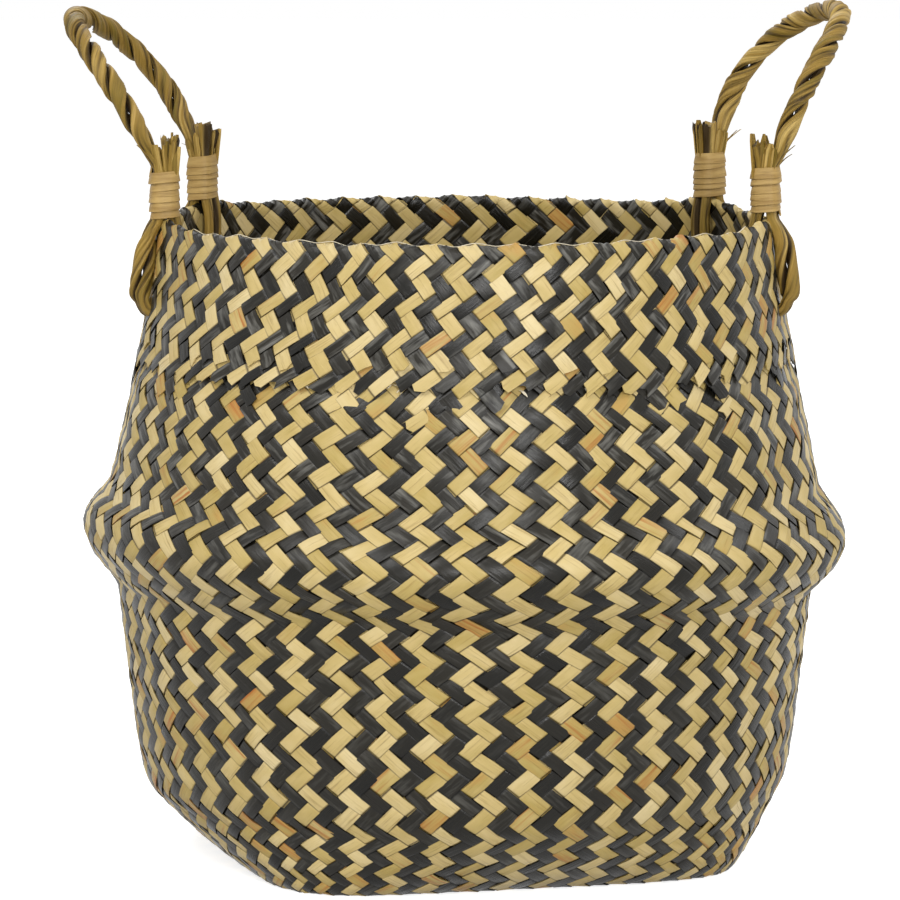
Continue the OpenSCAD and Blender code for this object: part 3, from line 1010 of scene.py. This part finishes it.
    def build(self, materials: Dict[Tone, bpy.types.Material]) -> None:
        """Weave the body, one piece to each side of the base and colour.

        Args:
            materials: The material of each colour.
        """
        rng = np.random.default_rng(self.seed)
        self.choose_ends(rng)
        made: Dict[Tuple[int, Tone], List[Dict[str, Array]]] = {}
        for number in range(1, self.strips + 1):
            tone = Tone.NATURAL if number % 2 == 0 else Tone.BLACK
            key = ((number - 1) * 4 // self.strips, tone)
            made.setdefault(key, []).append(self.strip(number, rng))
        for (side, tone), bands in made.items():
            piece = join(f"{tone.value}_strips_{side + 1}", bands, materials[tone],
                         42)
            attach(piece, "basket")
            log.info("%s: %d strips, %d faces", piece.name, len(bands), len(piece.data.polygons))
        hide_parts("woven_base", "lower_wall", "belly_underside", "belly_shoulder",
                    "upper_wall", "turned_layer", "rim_fold")

    def rim_thread(self) -> Dict[str, Array]:
        """Make the thin pale thread that lies along the top of the near rim."""
        step = np.arange(-16.0, 57.0, 1.0)
        row = np.full_like(step, self.plan.rim_row)
        top = self.plan.point(np.zeros_like(step), step, row) + np.array([0, 0, 0.62])
        line = through(top + np.array([0, 0, 0.3]) * np.sin(step * 0.7)[:, None], 3)
        along = unit(np.gradient(line, axis=0))
        beside = unit(np.cross(along, np.array([0, 0, 1.0])))
        over = np.cross(beside, along)
        sides = 6
        turn = np.linspace(0, 2 * np.pi, sides, endpoint=False)
        ring = self.thread_r * (np.cos(turn)[:, None] * beside[:, None]
                                + np.sin(turn)[:, None] * over[:, None])
        points = (line[:, None] + ring).reshape(-1, 3)
        uv = np.stack([np.tile(turn * self.thread_uv, len(line)),
                       np.repeat(np.arange(len(line)) * MM, sides)], -1)
        none = np.zeros(len(points))
        return {"points": points, "quads": closed_skin(len(line), sides, turned=True), "uv": uv,
                "groove": none, "strip_tone": none}

    def frayed_bits(self, rng: np.random.Generator) -> List[Dict[str, Array]]:
        """Make the torn bits that stand off the trimmed edge of the turned layer."""
        bits = []
        for step in [*self.torn_at, *rng.uniform(0, self.plan.steps, self.torn_more)]:
            place = np.array([step]), np.array([2 * self.plan.rim_row - rng.uniform(63.6, 65.2)])
            start = self.plan.point(np.zeros(1), *place)[0]
            start = start + self.plan.normal(np.zeros(1), *place)[0] * 1.1
            bearing = math.degrees(math.atan2(start[0], -start[1]))
            for _ in range(3):
                reach = polar(bearing, rng.uniform(0.3, 1.6), rng.uniform(-3.4, 3.4),
                              rng.uniform(-2.4, 0.6))
                k = np.linspace(0, 1, 5)[:, None]
                line = start + reach * k + polar(bearing, 0.5, 0, 0.8) * (k * (1 - k))
                width = rng.uniform(0.4, 0.95) * np.array([0.7, 1, 0.9, 0.6, 0.25])
                bits.append(sliver(line, width, bearing + rng.uniform(-30, 30), rng, 0.1))
        return bits

    def fray(self, material: bpy.types.Material) -> None:
        """Build the rim's thin pale thread and the torn bits as one piece."""
        rng = np.random.default_rng(self.seed + 1)
        piece = join("torn_fibres", [self.rim_thread()] + self.frayed_bits(rng), material,
                     60)
        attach(piece, "basket")


# ---- Handles --------------------------------------------------------------------------------


@dataclass
class Handle:
    """One rope handle: its loop, its two legs and their cut tails, in mm and degrees."""

    name: str
    bearing: float
    spread: float               # Between the two legs
    lean: float
    facing_sign: int            # 1 where the front leg has the larger bearing, else -1
    loop_h: float = 66
    swell: float = 4
    bow: float = 4
    lay_turns: float = 5.5
    plain_len: float = 9
    ease_len: float = 8
    ply_r: float = 2.6
    bound_r: float = 2.15
    ply_gap: float = 0.3
    seat: float = 0.3
    stack_t: float = 3.7
    leg_drop: float = 33
    lay_off: float = 2.15
    flat_thick: float = 0.8
    flat_wide: float = 1.24
    slim: float = 0.86
    whip_bottom: float = 254.5
    whip_top: float = 273.8
    pivot_z: float = 276.7
    tail_h: float = 10
    tail_leaves: int = 12
    outer_leaves: int = 5
    form: BasketForm = field(default_factory=BasketForm)
    sides: int = 30
    pitch: float = 0.9
    folds: int = 6
    fold_lay: float = 45        # Length over which a fold turns by one radian
    fold_depth: float = 0.2
    fold_wide: float = 0.17     # Radians
    lip_rise: float = 0.13
    leaf_uv: float = 0.017      # Metres of the UV map once round a bundle
    seed: int = 7

    @property
    def rim_mid(self) -> float:
        """Radius at which the four bound plies stand."""
        return self.form.rim_r - self.stack_t / 2

    @property
    def ply_off(self) -> float:
        """Distance of a ply from the rope's middle."""
        return self.ply_r + self.ply_gap / 2

    @property
    def bound_off(self) -> float:
        """The same inside a whipping."""
        return self.bound_r + self.ply_gap / 2

    def leg_route(self) -> Array:
        """Give radius, height, turn, ply offset, ply radius and flatness along a leg."""
        wall = self.form.wall_r
        top, low = self.form.height, self.form.height - self.leg_drop
        stack, g, r = self.stack_t, self.seat, self.ply_r
        bend = stack / 2 + 2 * g + r
        mid = float(wall(low + bend)) - stack / 2
        run_top, run_low, inner_top = top - r * 3, low + bend + r, top - r
        rope = g + self.lay_off + r * self.flat_thick
        bound, bound_r = self.bound_off, self.bound_r
        rows = [
            (self.rim_mid + bound, self.whip_top, 0, bound, bound_r, 0),
            (self.rim_mid + bound, self.whip_bottom + 1, 0, bound, bound_r, 0),
            (self.form.rim_r + g + r, top, 0, bound, bound_r, 0.3),
            (float(wall(run_top)) + mix(g + r, rope, 0.6), run_top + r, 15, self.lay_off, r, 0.7)]
        for k in range(5):
            z = mix(run_top, run_low, k / 4)
            rows.append((float(wall(z)) + rope, z, mix(35, 155, k / 4), self.lay_off, r, 1))
        for a in range(0, 181, 45):
            rows.append((mid + bend * math.cos(math.radians(a)),
                         low + bend * (1 - math.sin(math.radians(a))), 180,
                         self.ply_off * self.slim, r * self.slim, 0.3 * (1 - a / 180)))
        inner = stack + g + r
        rows += [
            (float(wall(run_low)) - inner - g, run_low, 180, self.ply_off, r * self.slim, 0),
            (float(wall(run_top)) - inner - g, mix(run_low, inner_top, 0.5), 180,
             self.ply_off, r * self.slim, 0),
            (float(wall(top)) - inner, inner_top, 180, self.ply_off, bound_r, 0),
            (self.rim_mid - bound, self.whip_bottom + 5, 180, bound, bound_r, 0)]
        return np.array(rows, float)

    def leg(self, bearing: float, side: int) -> Tuple[Array, Array, Array]:
        """Give one leg ply's points, radii and flatness from the top of the whipping."""
        rows = through(self.leg_route(), 4)
        turn = np.radians(rows[:, 2])
        points = polar(bearing, rows[:, 0] + side * rows[:, 3] * np.sin(turn),
                       side * rows[:, 3] * np.cos(turn), rows[:, 1])
        return points, rows[:, 4], np.clip(rows[:, 5], 0, 1)

    def directions(self) -> Tuple[Array, Array, Array, Array]:
        """Give the outward, along, rising and facing directions of the loop."""
        b, lean = math.radians(self.bearing), math.radians(self.lean)
        outward = np.array([math.sin(b), -math.cos(b), 0])
        along = np.array([math.cos(b), math.sin(b), 0])
        up = np.array([0, 0, 1.0])
        rise = math.cos(lean) * up + math.sin(lean) * outward
        facing = math.cos(lean) * outward - math.sin(lean) * up
        return outward, along, rise, facing

    def loop_line(self, count: int = 90) -> Array:
        """Give the middle line of the loop from foot to foot."""
        outward, along, rise, facing = self.directions()
        half_angle = math.radians(self.spread / 2)
        foot = (self.rim_mid - self.bound_off + self.bound_r + self.ply_r + self.seat + 0.2
                + self.ply_off * math.sin(half_angle))
        half, chord = foot * math.sin(half_angle), foot * math.cos(half_angle)
        wide = half + self.swell
        start = math.acos(half / wide)
        a = np.linspace(-start, math.pi + start, count + 1)
        up = self.loop_h * (np.sin(a) + math.sin(start)) / (1 + math.sin(start))
        bow = 4 * self.bow * (up / self.loop_h) * (1 - up / self.loop_h)
        base = chord * outward + np.array([0, 0, self.pivot_z])
        return (base - (wide * np.cos(a))[:, None] * along + up[:, None] * rise
                - bow[:, None] * facing)

    def lay(self, s: Array, whole: float) -> Array:
        """Give the turn of the lay in radians at each length along the loop."""
        laid = whole - 2 * self.plain_len

        def eased(x: Array) -> Array:
            """Start gently."""
            return np.where(x <= 0, 0, np.where(
                x < self.ease_len, x * x / (2 * self.ease_len), x - self.ease_len / 2))
        x = s - self.plain_len
        far = x > laid - self.ease_len
        turn = np.where(far, laid - self.ease_len - eased(laid - x), eased(x))
        return 2 * np.pi * self.lay_turns * turn / (laid - self.ease_len)

    def loop(self, side: int) -> Tuple[Array, Array]:
        """Give one ply's path and flatness round the loop."""
        _, along, _, facing = self.directions()
        line = self.loop_line()
        s = lengths(line)
        whole = s[-1]
        t = unit(np.gradient(line, axis=0))
        plain = 1 - np.clip(np.minimum(s, whole - s) / self.plain_len, 0, 1)
        end = np.where(s < whole / 2, 1.0, -1.0)
        flat = -unit(np.cross(facing, t))
        x = unit(mix(flat, end[:, None] * along, plain[:, None]))
        y = unit(np.cross(t, x))
        a = self.lay(s, whole)[:, None]
        flat_share = smoothstep(1, 13, np.minimum(s, whole - s))
        off = mix(self.bound_off, self.lay_off, flat_share)[:, None]
        return line + side * off * (np.cos(a) * x + np.sin(a) * y), flat_share

    def ply(self, side: int) -> Tuple[Array, Array, Array]:
        """Join leg, loop and leg into one ply.

        Args:
            side: -1 or 1 for the two plies.

        Returns:
            Points, radii and flatness, evenly spaced.
        """
        low_bearing = self.bearing - self.spread / 2
        high_bearing = self.bearing + self.spread / 2
        first, first_r, first_flat = self.leg(low_bearing, side)
        last, last_r, last_flat = self.leg(high_bearing, side)
        middle, middle_flat = (values[2:-2] for values in self.loop(side))
        swell = mix(self.bound_r, self.ply_r, middle_flat)
        points = np.concatenate([first[::-1], middle, last])
        radii = np.concatenate([first_r[::-1], swell, last_r])
        flat = np.concatenate([first_flat[::-1], middle_flat, last_flat])
        s = lengths(points)
        even = np.linspace(0, s[-1], int(s[-1] / self.pitch))
        path = sampled(even, s, points)
        for _ in range(3):
            path[1:-1] = (path[:-2] + 2 * path[1:-1] + path[2:]) / 4
        return path, np.interp(even, s, radii), np.interp(even, s, flat)

    def bundle(self, path: Array, toward: Array, thick: Array, wide: Array, ragged: float,
               rng: np.random.Generator) -> Dict[str, Array]:
        """Make a closed bundle of folded leaf along a path.

        Args:
            path: Points in mm.
            toward: The direction at each point in which the bundle is thick, not wide.
            thick: Half-thickness at each point in mm.
            wide: Half-width at each point in mm.
            ragged: How far the leaf's last ends stand out of line, in mm.
            rng: Source of the folds' places.

        Returns:
            Points, quads, UV and tones.
        """
        t = unit(np.gradient(path, axis=0))
        toward = unit(toward - (toward * t).sum(-1, keepdims=True) * t)
        beside = np.cross(t, toward)
        s = np.arange(len(path)) * self.pitch
        n = self.sides
        a = np.linspace(0, 2 * np.pi, n, endpoint=False)
        shape = np.ones((len(path), n)) - 0.12 * np.clip(np.cos(a), 0, 1)[None, :] ** 2
        # The groove mask marks the fold creases and the side toward the other ply, for painted
        # shade and a bump in the material.
        groove = np.zeros_like(shape)
        for k in range(self.folds):
            wander = (2 * np.pi * k / self.folds - s / self.fold_lay + 0.5 * np.sin(
                s / rng.uniform(9, 22) + rng.uniform(0, PHASE)) + rng.uniform(-0.4, 0.4))
            gap = (a[None, :] - wander[:, None] + np.pi) % (2 * np.pi) - np.pi
            depth = np.clip(0.55 + 0.6 * np.sin(s / rng.uniform(5, 12) + rng.uniform(0, PHASE)),
                            0, 1)[:, None]
            cut = np.exp(-(gap / self.fold_wide) ** 2) * depth
            groove = np.maximum(groove, cut)
            lip = np.exp(-((gap - 0.36) / 0.22) ** 2) * depth
            shape += -self.fold_depth * cut + self.lip_rise * lip
        # Painted shade on the side that faces the other ply, where the two meet.
        groove = np.maximum(groove, smoothstep(0.15, 0.6, np.cos(a))[None, :])
        swell = 1 + 0.06 * np.sin(s / 7.3 + rng.uniform(0, 6)) + 0.04 * np.sin(s / 3.1)
        shape = shape * swell[:, None]
        ring = ((np.cos(a) * thick[:, None] * shape)[..., None] * toward[:, None]
                + (np.sin(a) * wide[:, None] * shape)[..., None] * beside[:, None])
        points = path[:, None] + ring
        if ragged:
            points[-1] += (ragged * rng.uniform(-1, 1, n))[:, None] * t[-1]
        u = np.broadcast_to(a[None, :] / (2 * np.pi) * self.leaf_uv, shape.shape)
        u = np.where(u > self.leaf_uv / 2, self.leaf_uv - u, u)
        v = np.broadcast_to(s[:, None] * MM + rng.random() * 4, shape.shape)
        return {"points": points.reshape(-1, 3), "quads": closed_skin(len(path), n),
                "uv": np.stack([u.ravel(), v.ravel()], -1), "groove": groove.ravel(),
                "strip_tone": np.full(groove.size, rng.random())}

    def ply_skin(self, side: int, rng: np.random.Generator) -> Dict[str, Array]:
        """Make one ply of the rope, flattened where it is laid round the other one."""
        path, radii, flat = self.ply(side)
        other, _, _ = self.ply(-side)
        grid = np.linspace(0, len(other) - 1, len(path))
        partner = sampled(grid, np.arange(len(other)), other)
        thick = radii * mix(1, self.flat_thick, flat)
        wide = radii * mix(1, self.flat_wide, flat)
        for values in (thick, wide):
            values[[0, -1]] *= 0.3
        return self.bundle(path, partner - path, thick, wide, 0.0, rng)

    def stub(self, bearing: float, side: int, rng: np.random.Generator) -> Dict[str, Array]:
        """Make one ply's cut end, a bundle that opens above the whipping."""
        height = self.tail_h * rng.uniform(0.85, 1.2)
        z = np.arange(self.whip_top - 5, self.whip_top + height, self.pitch)
        up = smoothstep(0, height, z - self.whip_top)
        path = polar(bearing, self.rim_mid - self.bound_off - 0.5 * up,
                     side * (self.bound_off + 1.1 * up), z)
        inward = np.broadcast_to(polar(bearing, -1.0, 0.0, 0.0), path.shape)
        return self.bundle(path, inward, self.bound_r + 1.3 * up, self.bound_r + 1.1 * up,
                           1.6, rng)

    def tail(self, bearing: float, rng: np.random.Generator) -> List[Dict[str, Array]]:
        """Make the cut tail that stands out of one whipping."""
        leaves = [self.stub(bearing, side, rng) for side in (-1, 1)]
        for number in range(self.tail_leaves):
            outer = number < self.outer_leaves
            side = rng.choice((-1, 1)) * rng.uniform(4.1, 4.6) if outer else rng.uniform(-4.8, 4.8)
            back = rng.uniform(1.0, 6.4) if outer else rng.uniform(-3.4, 1.6)
            top = self.whip_top + self.tail_h * (
                rng.uniform(0.5, 0.95) if outer else rng.uniform(0.7, 1.35))
            z = np.linspace(self.whip_top - 4, top, 7)
            rise = (z - z[0]) / (z[-1] - z[0])
            radius = self.rim_mid - self.bound_off + back * (0.7 + 0.4 * rise)
            line = polar(bearing, radius, side * (0.9 + 0.25 * rise)
                         + rng.uniform(-1.0, 1.0) * rise ** 2, z)
            width = np.full(7, rng.uniform(1.1, 1.8) if outer else rng.uniform(0.7, 1.5))
            width[-1] *= rng.uniform(0.3, 0.9)
            turn = 90 + rng.uniform(-25, 25) if outer else rng.uniform(-90, 90)
            leaves.append(sliver(line, width, bearing + turn, rng))
        return leaves

    def stray(self, bearing: float, rng: np.random.Generator) -> List[Dict[str, Array]]:
        """Make a few thin fibres that stand off the rope above one whipping."""
        fibres = []
        for _ in range(4):
            start = polar(bearing, self.rim_mid + rng.uniform(0, 4), rng.uniform(-3, 3),
                          self.whip_top - 1)
            reach = polar(bearing, rng.uniform(2, 8), rng.uniform(-7, 7), rng.uniform(5, 12))
            k = np.linspace(0, 1, 6)[:, None]
            line = start + reach * k + polar(bearing, 1.5, 0, -1.5) * (k * k)
            width = np.linspace(0.5, 0.15, 6)
            fibres.append(sliver(line, width, bearing + rng.uniform(-60, 60), rng))
        return fibres

    def build(self, material: bpy.types.Material) -> None:
        """Make the rope, its tails and its stray fibres.

        Args:
            material: The rope's material.
        """
        rng = np.random.default_rng(self.seed)
        body = f"{self.name}_handle"
        rope = join(f"{self.name}_rope", [self.ply_skin(side, rng) for side in (-1, 1)],
                    material)
        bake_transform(rope)
        names = [f"{self.name}_{end}_leg_ply_{ply}" for end in ("front", "back") for ply in "ab"]
        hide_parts(f"{body}_ply_a", f"{body}_ply_b", *names)
        tails = []
        for bearing in (self.bearing - self.spread / 2, self.bearing + self.spread / 2):
            tails += self.tail(bearing, rng) + self.stray(bearing, rng)
        stubs = join(f"{self.name}_tails", tails, material, 50)
        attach(stubs, "basket")
        log.info("%s handle: rope of %d points", self.name, len(rope.data.vertices))


@dataclass
class Whipping:
    """A flat strip wound round one leg and its tail, just above the rim. Sizes in mm."""

    name: str
    bearing: float
    middle_r: float = 120.15
    half: float = 5.0
    bottom: float = 254.0
    top: float = 274.2
    turns: int = 6
    steps: int = 24
    strip: float = 4.3
    squareness: float = 3.2
    slip: float = 0.8
    slant: float = 0.7
    thickness: float = 0.55
    soft_edge: float = 0.14
    levels: Tuple[float, ...] = (-0.5, -0.2, 0.2, 0.5)      # Across the strip, in widths
    pushes: Tuple[float, ...] = (0.5, 0.3, -0.08, -0.3)     # Out of round at each level
    seed: int = 1

    def outline(self, turn: float) -> Tuple[float, float]:
        """Give the radial and sideways place on the rounded-square winding."""
        c, s = math.cos(turn), math.sin(turn)
        r = self.half / (abs(c) ** self.squareness + abs(s) ** self.squareness) ** (
            1 / self.squareness)
        return r * c, r * s

    def path(self) -> Array:
        """Give the winding's middle line, with small slips from turn to turn."""
        rng = np.random.default_rng(self.seed)
        slips = rng.uniform(-self.slip, self.slip, self.turns + 2)
        slants = rng.uniform(-self.slant, self.slant, self.turns + 2)
        bulges = rng.uniform(-0.2, 0.4, self.turns + 2)
        points = []
        count = self.turns * self.steps
        for i in range(count + 1):
            share = i / count
            turn = 2 * math.pi * i / self.steps
            where = i / self.steps
            slip, slant, swell = (float(np.interp(where, np.arange(self.turns + 2), table))
                                  for table in (slips, slants, bulges))
            radial, side = self.outline(turn)
            slip += slant * math.sin(turn) * math.sin(math.pi * share)
            z = mix(self.bottom + self.strip / 2, self.top - self.strip / 2, share) + slip
            outer = 1 + (swell + 0.25 * math.sin(math.pi * (where % 1))) / self.half
            points.append(polar(self.bearing, self.middle_r + radial * outer, side * outer, z))
        return np.array(points)

    def build(self, material: bpy.types.Material) -> None:
        """Wind the strip: one upright edge is extruded round the leg, then given thickness."""
        path = self.path() * MM
        width = self.strip * MM
        deselect()
        bpy.ops.mesh.primitive_plane_add(size=1.0, location=(0, 0, 0))
        piece = bpy.context.object
        piece.name = self.name
        piece.data.clear_geometry()
        piece.data.from_pydata(
            [tuple(path[0] + np.array([0, 0, k * width])) for k in self.levels],
            [(0, 1), (1, 2), (2, 3)], [])
        bpy.ops.object.mode_set(mode="EDIT")
        bpy.ops.mesh.select_all(action="SELECT")
        for before, after in zip(path[:-1], path[1:]):
            bpy.ops.mesh.extrude_region_move(
                TRANSFORM_OT_translate={"value": tuple(after - before)})
        bpy.ops.mesh.select_all(action="SELECT")
        bpy.ops.mesh.normals_make_consistent(inside=False)
        bpy.ops.object.mode_set(mode="OBJECT")
        self.crown(piece)
        solid = piece.modifiers.new("thickness", "SOLIDIFY")
        solid.thickness = self.thickness * MM
        solid.offset = 0
        bevel = piece.modifiers.new("soft edge", "BEVEL")
        bevel.width = self.soft_edge * MM
        bevel.segments = 1
        activate(piece)
        for modifier in list(piece.modifiers):
            bpy.ops.object.modifier_apply(modifier=modifier.name)
        bpy.ops.object.shade_smooth_by_angle(angle=math.radians(40))
        deselect()
        piece.data.materials.append(material)
        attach(piece, "basket")
        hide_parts(self.name.replace("_binding", "_whipping"))
        log.info("%s: %d turns", piece.name, self.turns)

    def crown(self, piece: bpy.types.Object) -> None:
        """Round the strip across and lay its UV map along the winding."""
        middle = np.array(polar(self.bearing, self.middle_r, 0.0, 0.0)) * MM
        for vertex in piece.data.vertices:
            offset = np.array(vertex.co)[:2] - middle[:2]
            push = self.pushes[vertex.index % 4] * MM
            offset = offset * (1 + push / max(float(np.linalg.norm(offset)), 1e-6))
            vertex.co.x, vertex.co.y = middle[0] + offset[0], middle[1] + offset[1]
        layer = piece.data.uv_layers.new(name="UVMap")
        for loop in piece.data.loops:
            index = loop.vertex_index
            layer.data[loop.index].uv = ((index % 4) * self.strip * MM / 3,
                                         (index // 4) * 0.0017 + self.seed)


# ---- Studio ---------------------------------------------------------------------------------


@dataclass
class Studio:
    """Floor, light and camera."""

    camera_at: Tuple[float, float, float] = (-0.0059, -2.3, 0.438)
    camera_pitch: float = 6.905
    lens: float = 233.5
    sensor: float = 36
    floor_size: float = 14
    floor_glow: float = 0.8
    world_dim: float = 0.3
    aim: Tuple[float, float, float] = (0, 0, 0.15)
    # Name, place in metres, size in metres and power in watts
    lamps: Tuple[Tuple[str, Tuple[float, float, float], float, float], ...] = (
        ("key", (-1.3, -1.6, 2.2), 1.1, 34), ("sheen", (0.5, -2.5, 1.05), 0.8, 31),
        ("side", (2.1, 0.2, 1.7), 1.0, 15), ("back", (-0.4, 1.9, 2.0), 1.4, 22))

    def floor(self) -> None:
        """Lay a plain light floor that shows white wherever it is mirrored."""
        deselect()
        bpy.ops.mesh.primitive_plane_add(size=self.floor_size, location=(0, 0, 0))
        floor = bpy.context.object
        floor.name = "floor"
        sheet = Sheet("plain_floor")
        grain = sheet.noise(sheet.node("ShaderNodeVectorMath", {"operation": "SCALE"}, {
            0: sheet.node("ShaderNodeTexCoord").outputs["Object"], "Scale": 40.0}))
        sheet.finish(srgb(222, 222, 222), 0.9, grain, 0.00001, Specular_IOR_Level=0.0)
        glow = sheet.node("ShaderNodeEmission", inputs={0: WHITE, 1: self.floor_glow})
        white = sheet.node("ShaderNodeEmission", inputs={0: WHITE, 1: 1.0})
        both = sheet.node("ShaderNodeAddShader", inputs={0: sheet.shader, 1: glow})
        seen = sheet.node("ShaderNodeMixShader", inputs={
            0: sheet.direct(), 1: sheet.shader, 2: both})
        choose = sheet.node("ShaderNodeMixShader", inputs={
            0: sheet.mirrored(), 1: seen, 2: white})
        sheet.tree.links.new(choose.outputs[0], sheet.output.inputs["Surface"])
        floor.data.materials.append(sheet.material)

    def world(self) -> None:
        """Light everything evenly, with a white surround."""
        world = bpy.data.worlds.new("studio")
        bpy.context.scene.world = world
        world.use_nodes = True
        sheet = Sheet("studio", world.node_tree)
        dim = sheet.node("ShaderNodeBackground", inputs={0: WHITE, 1: self.world_dim})
        white = sheet.node("ShaderNodeBackground", inputs={0: WHITE, 1: 1.0})
        choose = sheet.node("ShaderNodeMixShader", inputs={
            0: (sheet.direct() + sheet.mirrored()).limited(), 1: dim, 2: white})
        sheet.tree.links.new(choose.outputs[0], sheet.output.inputs["Surface"])

    def lamp(self, name: str, place: Tuple[float, float, float], size: float, power: float
             ) -> None:
        """Hang one soft square lamp that faces the basket."""
        data = bpy.data.lights.new(name, "AREA")
        data.size = size
        data.energy = power
        lamp = bpy.data.objects.new(name, data)
        bpy.context.scene.collection.objects.link(lamp)
        lamp.location = place
        toward = Vector(self.aim) - Vector(place)
        lamp.rotation_euler = toward.to_track_quat("-Z", "Y").to_euler()

    def camera(self) -> None:
        """Stand the camera where the photograph was taken from."""
        data = bpy.data.cameras.new("camera")
        data.lens = self.lens
        data.sensor_width = self.sensor
        camera = bpy.data.objects.new("camera", data)
        bpy.context.scene.collection.objects.link(camera)
        camera.location = self.camera_at
        camera.rotation_euler = (math.radians(90 - self.camera_pitch), 0, 0)
        bpy.context.scene.camera = camera

    def build(self) -> None:
        """Set up the studio."""
        self.camera()
        self.floor()
        self.world()
        for lamp in self.lamps:
            self.lamp(*lamp)
        bpy.context.scene.view_settings.view_transform = "Standard"


def main() -> None:
    """Build the looks round the frame, in order."""
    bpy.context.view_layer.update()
    Studio().build()
    weave = {Tone.NATURAL: NaturalStrip().make(), Tone.BLACK: BlackStrip().make()}
    rope, binding = RopeLeaf().make(), BindingStrip().make()
    body = WovenBody()
    body.build(weave)
    body.fray(TornFibre().make())
    handles = [Handle("left", -98, 40, 36, 1, seed=11),
               Handle("right", 101, 46, 32.5, -1, bow=6, seed=12)]
    for number, handle in enumerate(handles):
        handle.build(rope)
        for end, sign in (("front", 1), ("back", -1)):
            bearing = handle.bearing + handle.facing_sign * sign * handle.spread / 2
            Whipping(f"{handle.name}_{end}_binding", bearing,
                     seed=10 * number + (sign + 1) + 1).build(binding)


if __name__ == "__main__":
    main()
